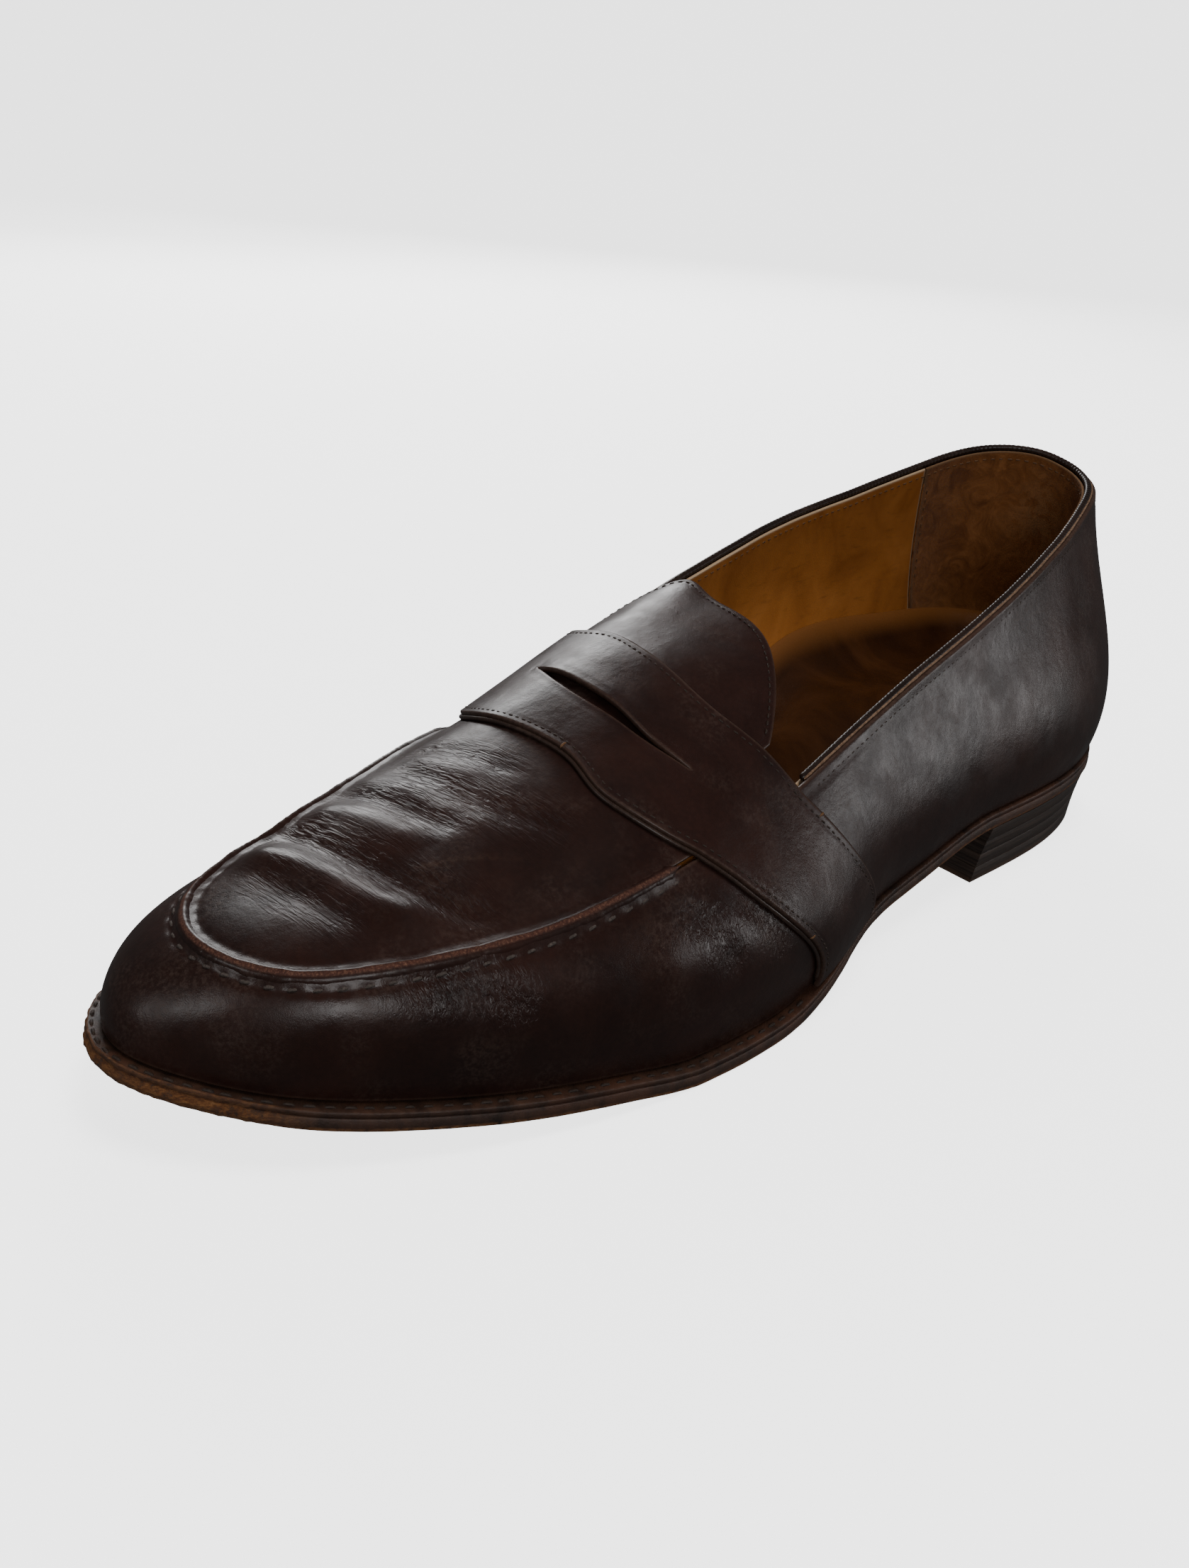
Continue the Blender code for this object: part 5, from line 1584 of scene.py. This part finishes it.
def make_topline(look):
    end = turn_of(STRAP_REAR) - 0.006
    turn = np.linspace(-end, end, 1500)
    face, up, _ = worn(turn, np.full_like(turn, 0.994))
    rim = face - BEAD_DEPTH * up + BEAD_LIFT * SKY
    ribs = 1 + 0.055 * np.sin(2 * math.pi * arc_length(rim) / RIB_PITCH)
    piece = swept("topline_bead", rim, up, round_profile(0.86, 10), look["bead"], ribs=ribs)
    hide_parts("topline_piping")
    wobble = uneven(np.random.default_rng(31), len(turn), 5, 0.16)
    edge = face - RAW_EDGE_DEPTH * up + RAW_EDGE_LIFT * SKY
    swept("topline_raw_edge", edge, up, round_profile(0.3), look["raw_edge"], ribs=wobble)
    face, up, _ = worn(turn, rise_at(turn, TOPLINE_STITCH))
    stitches("topline_stitches_outer", face - 0.2 * up, up, *TOPLINE_THREAD, look["dark_thread"], seed=33)
    rise = np.linspace(0.775, 0.955, 60)
    for side, name in ((-1, "medial"), (1, "lateral")):
        base = np.full_like(rise, side * TAB_HALF_TURN)
        face, up, _ = worn(slid(base, rise, -side * 1.2), rise)
        stitches(f"heel_tab_stitches_{name}", face + TAB_FACE * up, up, *EDGE_THREAD, look["pale_thread"],
                 seed=35)


# ---------------------------------------------------------------- bottom

SOLE_STEPS = 720
# Section of the sole from its top, under the upper, round the edge to its
# bottom: (inset from the edge, share of the thickness, extra height).
SOLE_SECTION = (
    (11.0, 1, 0.0), (6.0, 1, 0.0), (2.5, 1, 0.0), (0.9, 1, 0.0), (0.35, 1, -0.03), (0.12, 1, -0.14),
    (0.02, 1, -0.35), (-0.06, 0.62, 0.0), (-0.08, 0.4, 0.0), (0.0, 0, 0.55), (0.12, 0, 0.24),
    (0.4, 0, 0.06), (0.9, 0, 0.0), (2.2, 0, 0.0), (4.5, 0, 0.0), (8.0, 0, 0.0), (11.0, 0, 0.0),
)
SOLE_RIM = 9
CENTRE_SHARES = (0.2, 0.4, 0.6, 0.8, 1.0)
TOE_WEAR = (0.88, 1.17)


def ripple(turn, periods, seed):
    """Smooth random waviness of an edge, -1 to 1, closed round the shoe."""
    rng = np.random.default_rng(seed)
    total = np.zeros_like(turn)
    for period in periods:
        cycles = round(2.0 * ROUND_LENGTH / period)
        total += rng.uniform(0.5, 1) * np.sin(math.pi * cycles * turn + rng.uniform(0, 6.28))
    return total / len(periods)


def toe_wear(turn):
    low, high = TOE_WEAR
    return smooth((turn - low) / 0.05) * smooth((high - turn) / 0.06)


def section_rows(section, low, high, turn, wear):
    """Points round the shoe for each row of a section, roughened where the toe is worn."""
    fuzz = wear * (0.3 * ripple(turn, (6.1, 3.7, 2.3, 1.5), 41) + 0.15) + 0.05 * ripple(turn, (19, 11, 5), 42)
    rows = []
    for inset, share, extra in section:
        edge = 1.0 if inset < 1.0 else 0.0
        soft = wear * 0.55 * max(0.0, abs(share - 0.5) * 2 - 0.3) * edge
        plan = outline(turn, inset + (fuzz + soft) * edge)
        base = low(plan[:, 1]) * (1 - share) + high(plan[:, 1]) * share
        rows.append(world(lifted(plan, base + extra)))
    return rows


def closing_rows(rim, height):
    """Rows that close a face of the solid from its rim in to its middle line."""
    centre = 0.5 * (rim + np.roll(rim[::-1], 1, 0))
    rows = [rim * (1 - share) + centre * share for share in CENTRE_SHARES]
    for row in rows:
        row[:, 2] = height(HALF_LENGTH - row[:, 1])
    return rows


def paint_bottom(thing, look, first, per_step):
    """Gives a second material to the faces from the `first` of each step round the shoe."""
    thing.data.materials.append(look)
    number = np.arange(len(thing.data.polygons))
    index = np.where(number % per_step >= first, 1, 0).astype(np.int32)
    thing.data.polygons.foreach_set("material_index", index)


def edge_solid(name, section, low, high, look, wear_band, bottom=None):
    """Solid of the sole's outline: `low` and `high` give the heights of its faces along the reach.

    wear_band is how far in from the edge the toe is worn, and how strongly.
    Without a bottom material the solid is a ring.
    """
    turn = np.linspace(0, 2, SOLE_STEPS, endpoint=False)
    wear = toe_wear(turn)
    rows = section_rows(section, low, high, turn, wear)
    inset = np.array([row[0] for row in section])
    rows_wear = np.where(inset < wear_band[0], wear_band[1], 0.0)
    rows_raw = np.zeros(len(section))
    if bottom:
        rows_raw[SOLE_RIM:SOLE_RIM + 3] = 1.0
        rows = closing_rows(rows[0], high)[::-1] + rows + closing_rows(rows[-1], low)
        rows_wear, rows_raw = (np.pad(values, len(CENTRE_SHARES)) for values in (rows_wear, rows_raw))
    marks = {"wear": np.outer(wear, rows_wear), "raw": np.tile(rows_raw, (SOLE_STEPS, 1))}
    faces = tube_faces(SOLE_STEPS, len(rows), around=True, wrap=not bottom)
    thing = make_object(name, np.stack(rows, 1).reshape(-1, 3), faces, look, marks, angle=60.0)
    if bottom:
        paint_bottom(thing, bottom, len(CENTRE_SHARES) + len(section) - 5, len(rows) - 1)
        weld(thing)
    finish_piece(thing)
    return thing


WELT_SECTION = (
    (8.8, 1, 0.0), (4.0, 1, 0.0), (2.4, 1, 0.02), (1.0, 1, 0.0), (0.4, 1, -0.03), (0.16, 1, -0.14),
    (0.08, 1, -0.34), (0.08, 0, 0.2), (0.3, 0, 0.0), (1.2, 0, 0.0), (8.8, 0, 0.0),
)


# How far in from the edge the toe is worn, and how strongly; the inset of the welt's stitches.
SOLE_WEAR = (2.6, 1.0)
WELT_WEAR = (0.9, 0.5)
WELT_STITCH = 1.55


def sole_top(reach):
    return underside(reach) + SOLE_THICKNESS + 0.12


def welt_base(reach):
    return underside(reach) + SOLE_THICKNESS + 0.14


def make_sole(look):
    piece = edge_solid("outsole_leather", SOLE_SECTION, underside, sole_top, look["edge"],
                       SOLE_WEAR, bottom=look["sole"])
    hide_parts("outsole")
    piece = edge_solid("welt_leather", WELT_SECTION, welt_base, welt_top, look["edge"],
                       WELT_WEAR)
    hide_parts("welt")
    start = turn_of(STRAP_FRONT)
    plan = outline(np.linspace(start, 2 - start, 900), WELT_STITCH)
    points = world(lifted(plan, welt_top(plan[:, 1]) + 0.02))
    up = np.broadcast_to(SKY, points.shape)
    piece = stitches("welt_stitches", points, up, *WELT_THREAD, look["dark_thread"], seed=51)
    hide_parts("welt_stitch_thread")


# The sock's rim lies against the walls: turn and rise along one side.
SOCK_RIM = ((0.0, 0.3), (0.055, 0.3), (0.18, 0.36), (0.31, 0.41), (0.4, 0.25), (0.5, 0.08),
            (0.6, 0.04), (1.0, 0.04))
# Width over which the sock curves up to its rim.
SOCK_CUP = 6.5


def sock_rim(turn):
    return at_depth(turn, bow(SOCK_RIM, fold(turn)), LINING[1] + 0.15)


def make_sock(look):
    turn = np.linspace(0, 1, 260)
    share = np.unique(np.concatenate([np.linspace(0, 1, 60), [0.004, 0.012, 0.988, 0.996]]))
    left, right = sock_rim(turn)[:, None, :], sock_rim(2 - turn)[:, None, :]
    sheet = left * (1 - share)[None, :, None] + right * share[None, :, None]
    reach = HALF_LENGTH - sheet[..., 1]
    floor = welt_top(reach) + GAP + INSOLE_THICKNESS + GAP + sock_lift(reach)
    border = np.ones(reach.shape, bool)
    border[1:-1, 1:-1] = False
    gap = border_distance(lifted(sheet[..., :2], 0 * reach), border)
    cup = np.maximum(sheet[..., 2] - floor, 0.0) * np.exp(-(gap / SOCK_CUP) ** 1.5)
    outer = lifted(sheet[..., :2], floor + SOCK_THICKNESS + cup)
    inner = lifted(sheet[..., :2], floor + cup)
    piece = make_object("sock_leather_lining", both(outer, inner).reshape(-1, 3),
                        shell_faces(*reach.shape), look["sock"], {"edge": both(gap, gap)})
    finish_piece(piece)
    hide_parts("sock_lining")


# ---------------------------------------------------------------- heel

HEEL_LENGTH = 80.5
HEEL_SLANT = -2.5
HEEL_TAPER = 2.0
HEEL_INSET = 0.3
HEEL_HOLLOW = 2.0
SEAT = SOLE_UNDERSIDE[0][1]
SIDE_COUNT = 320
BREAST_COUNT = 60
# How far each lift reaches into the gap to the next, and the softening of its rims.
LIFT_SEAM = 0.14


def resample(points, count):
    length = arc_length(points)
    at = np.linspace(0, length[-1], count)
    return np.stack([np.interp(at, length, points[:, k]) for k in range(2)], -1)


def heel_loop(height, inset):
    """Closed outline of the heel at a height: round the back, then across the breast."""
    share = np.clip((SEAT - height) / SEAT, 0, 1)
    waist = 0.35 * math.sin(math.pi * share)
    breast = HEEL_LENGTH - HEEL_SLANT * share - inset
    turn = np.linspace(-0.42, 0.42, 1400)
    plan = outline(turn, HEEL_INSET + HEEL_TAPER * share + waist + inset)
    plan = plan[plan[:, 1] < breast]
    first = np.array([plan[0, 0], breast])
    last = np.array([plan[-1, 0], breast])
    side = resample(np.vstack([first, plan, last]), SIDE_COUNT)
    part = np.linspace(0, 1, BREAST_COUNT + 2)[1:-1, None]
    front = last * (1 - part) + first * part
    front[:, 1] -= HEEL_HOLLOW * np.sin(math.pi * part[:, 0])
    plan = np.vstack([side, front])
    return world(lifted(plan, np.full(len(plan), height)))


def heel_layer(name, low, high, round_low, round_high, look, node):
    """One lift of the heel, with softened rims, closed above and below."""
    levels = [(low, round_low + 2.0), (low, round_low), (low + 0.3 * round_low, 0.35 * round_low),
              (low + round_low, 0.0), (high - round_high, 0.0), (high - 0.3 * round_high, 0.35 * round_high),
              (high, round_high), (high, round_high + 2.0)]
    rings = [heel_loop(height, inset) for height, inset in levels]
    faces = rod_faces(len(rings), len(rings[0]))
    thing = make_object(name, np.concatenate(rings), faces, look, angle=45.0)
    finish_piece(thing)
    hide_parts(node)


def make_heel(look):
    for number in (1, 2, 3):
        low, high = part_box(f"heel_lift_{number}")
        low, high = low[2] / MM - LIFT_SEAM, high[2] / MM + LIFT_SEAM
        heel_layer(f"heel_lift_leather_{number}", low, high, LIFT_SEAM, LIFT_SEAM, look["heel"],
                   f"heel_lift_{number}")
    _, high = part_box("top_piece")
    heel_layer("heel_top_piece", 0.0, high[2] / MM + LIFT_SEAM, 0.45, LIFT_SEAM, look["heel"],
               "top_piece")


# ---------------------------------------------------------------- carried-over nodes

# Hidden CAD pieces that keep their shape, and their materials.
HIDDEN = {"insole": "insole_leather", "bottom_filler": "cork", "heel_pad": "cork", "shank": "steel",
          "heel_counter": "stiffener_board"}
HIDDEN.update({f"heel_nail_{number}": "steel" for number in range(1, 6)})


def dress_nodes(look):
    for name, key in HIDDEN.items():
        for slot in frame["nodes"][name].material_slots:
            slot.material = look[key]


def main():
    make_camera()
    make_lights()
    make_floor()
    look = palette()
    for make in (make_quarters, make_mudguard, make_apron, make_seam, make_strap, make_strap_edges,
                 make_tacks, make_tongue, make_linings, make_inner_stitches, make_topline, make_sole,
                 make_sock, make_heel, dress_nodes):
        make(look)


main()
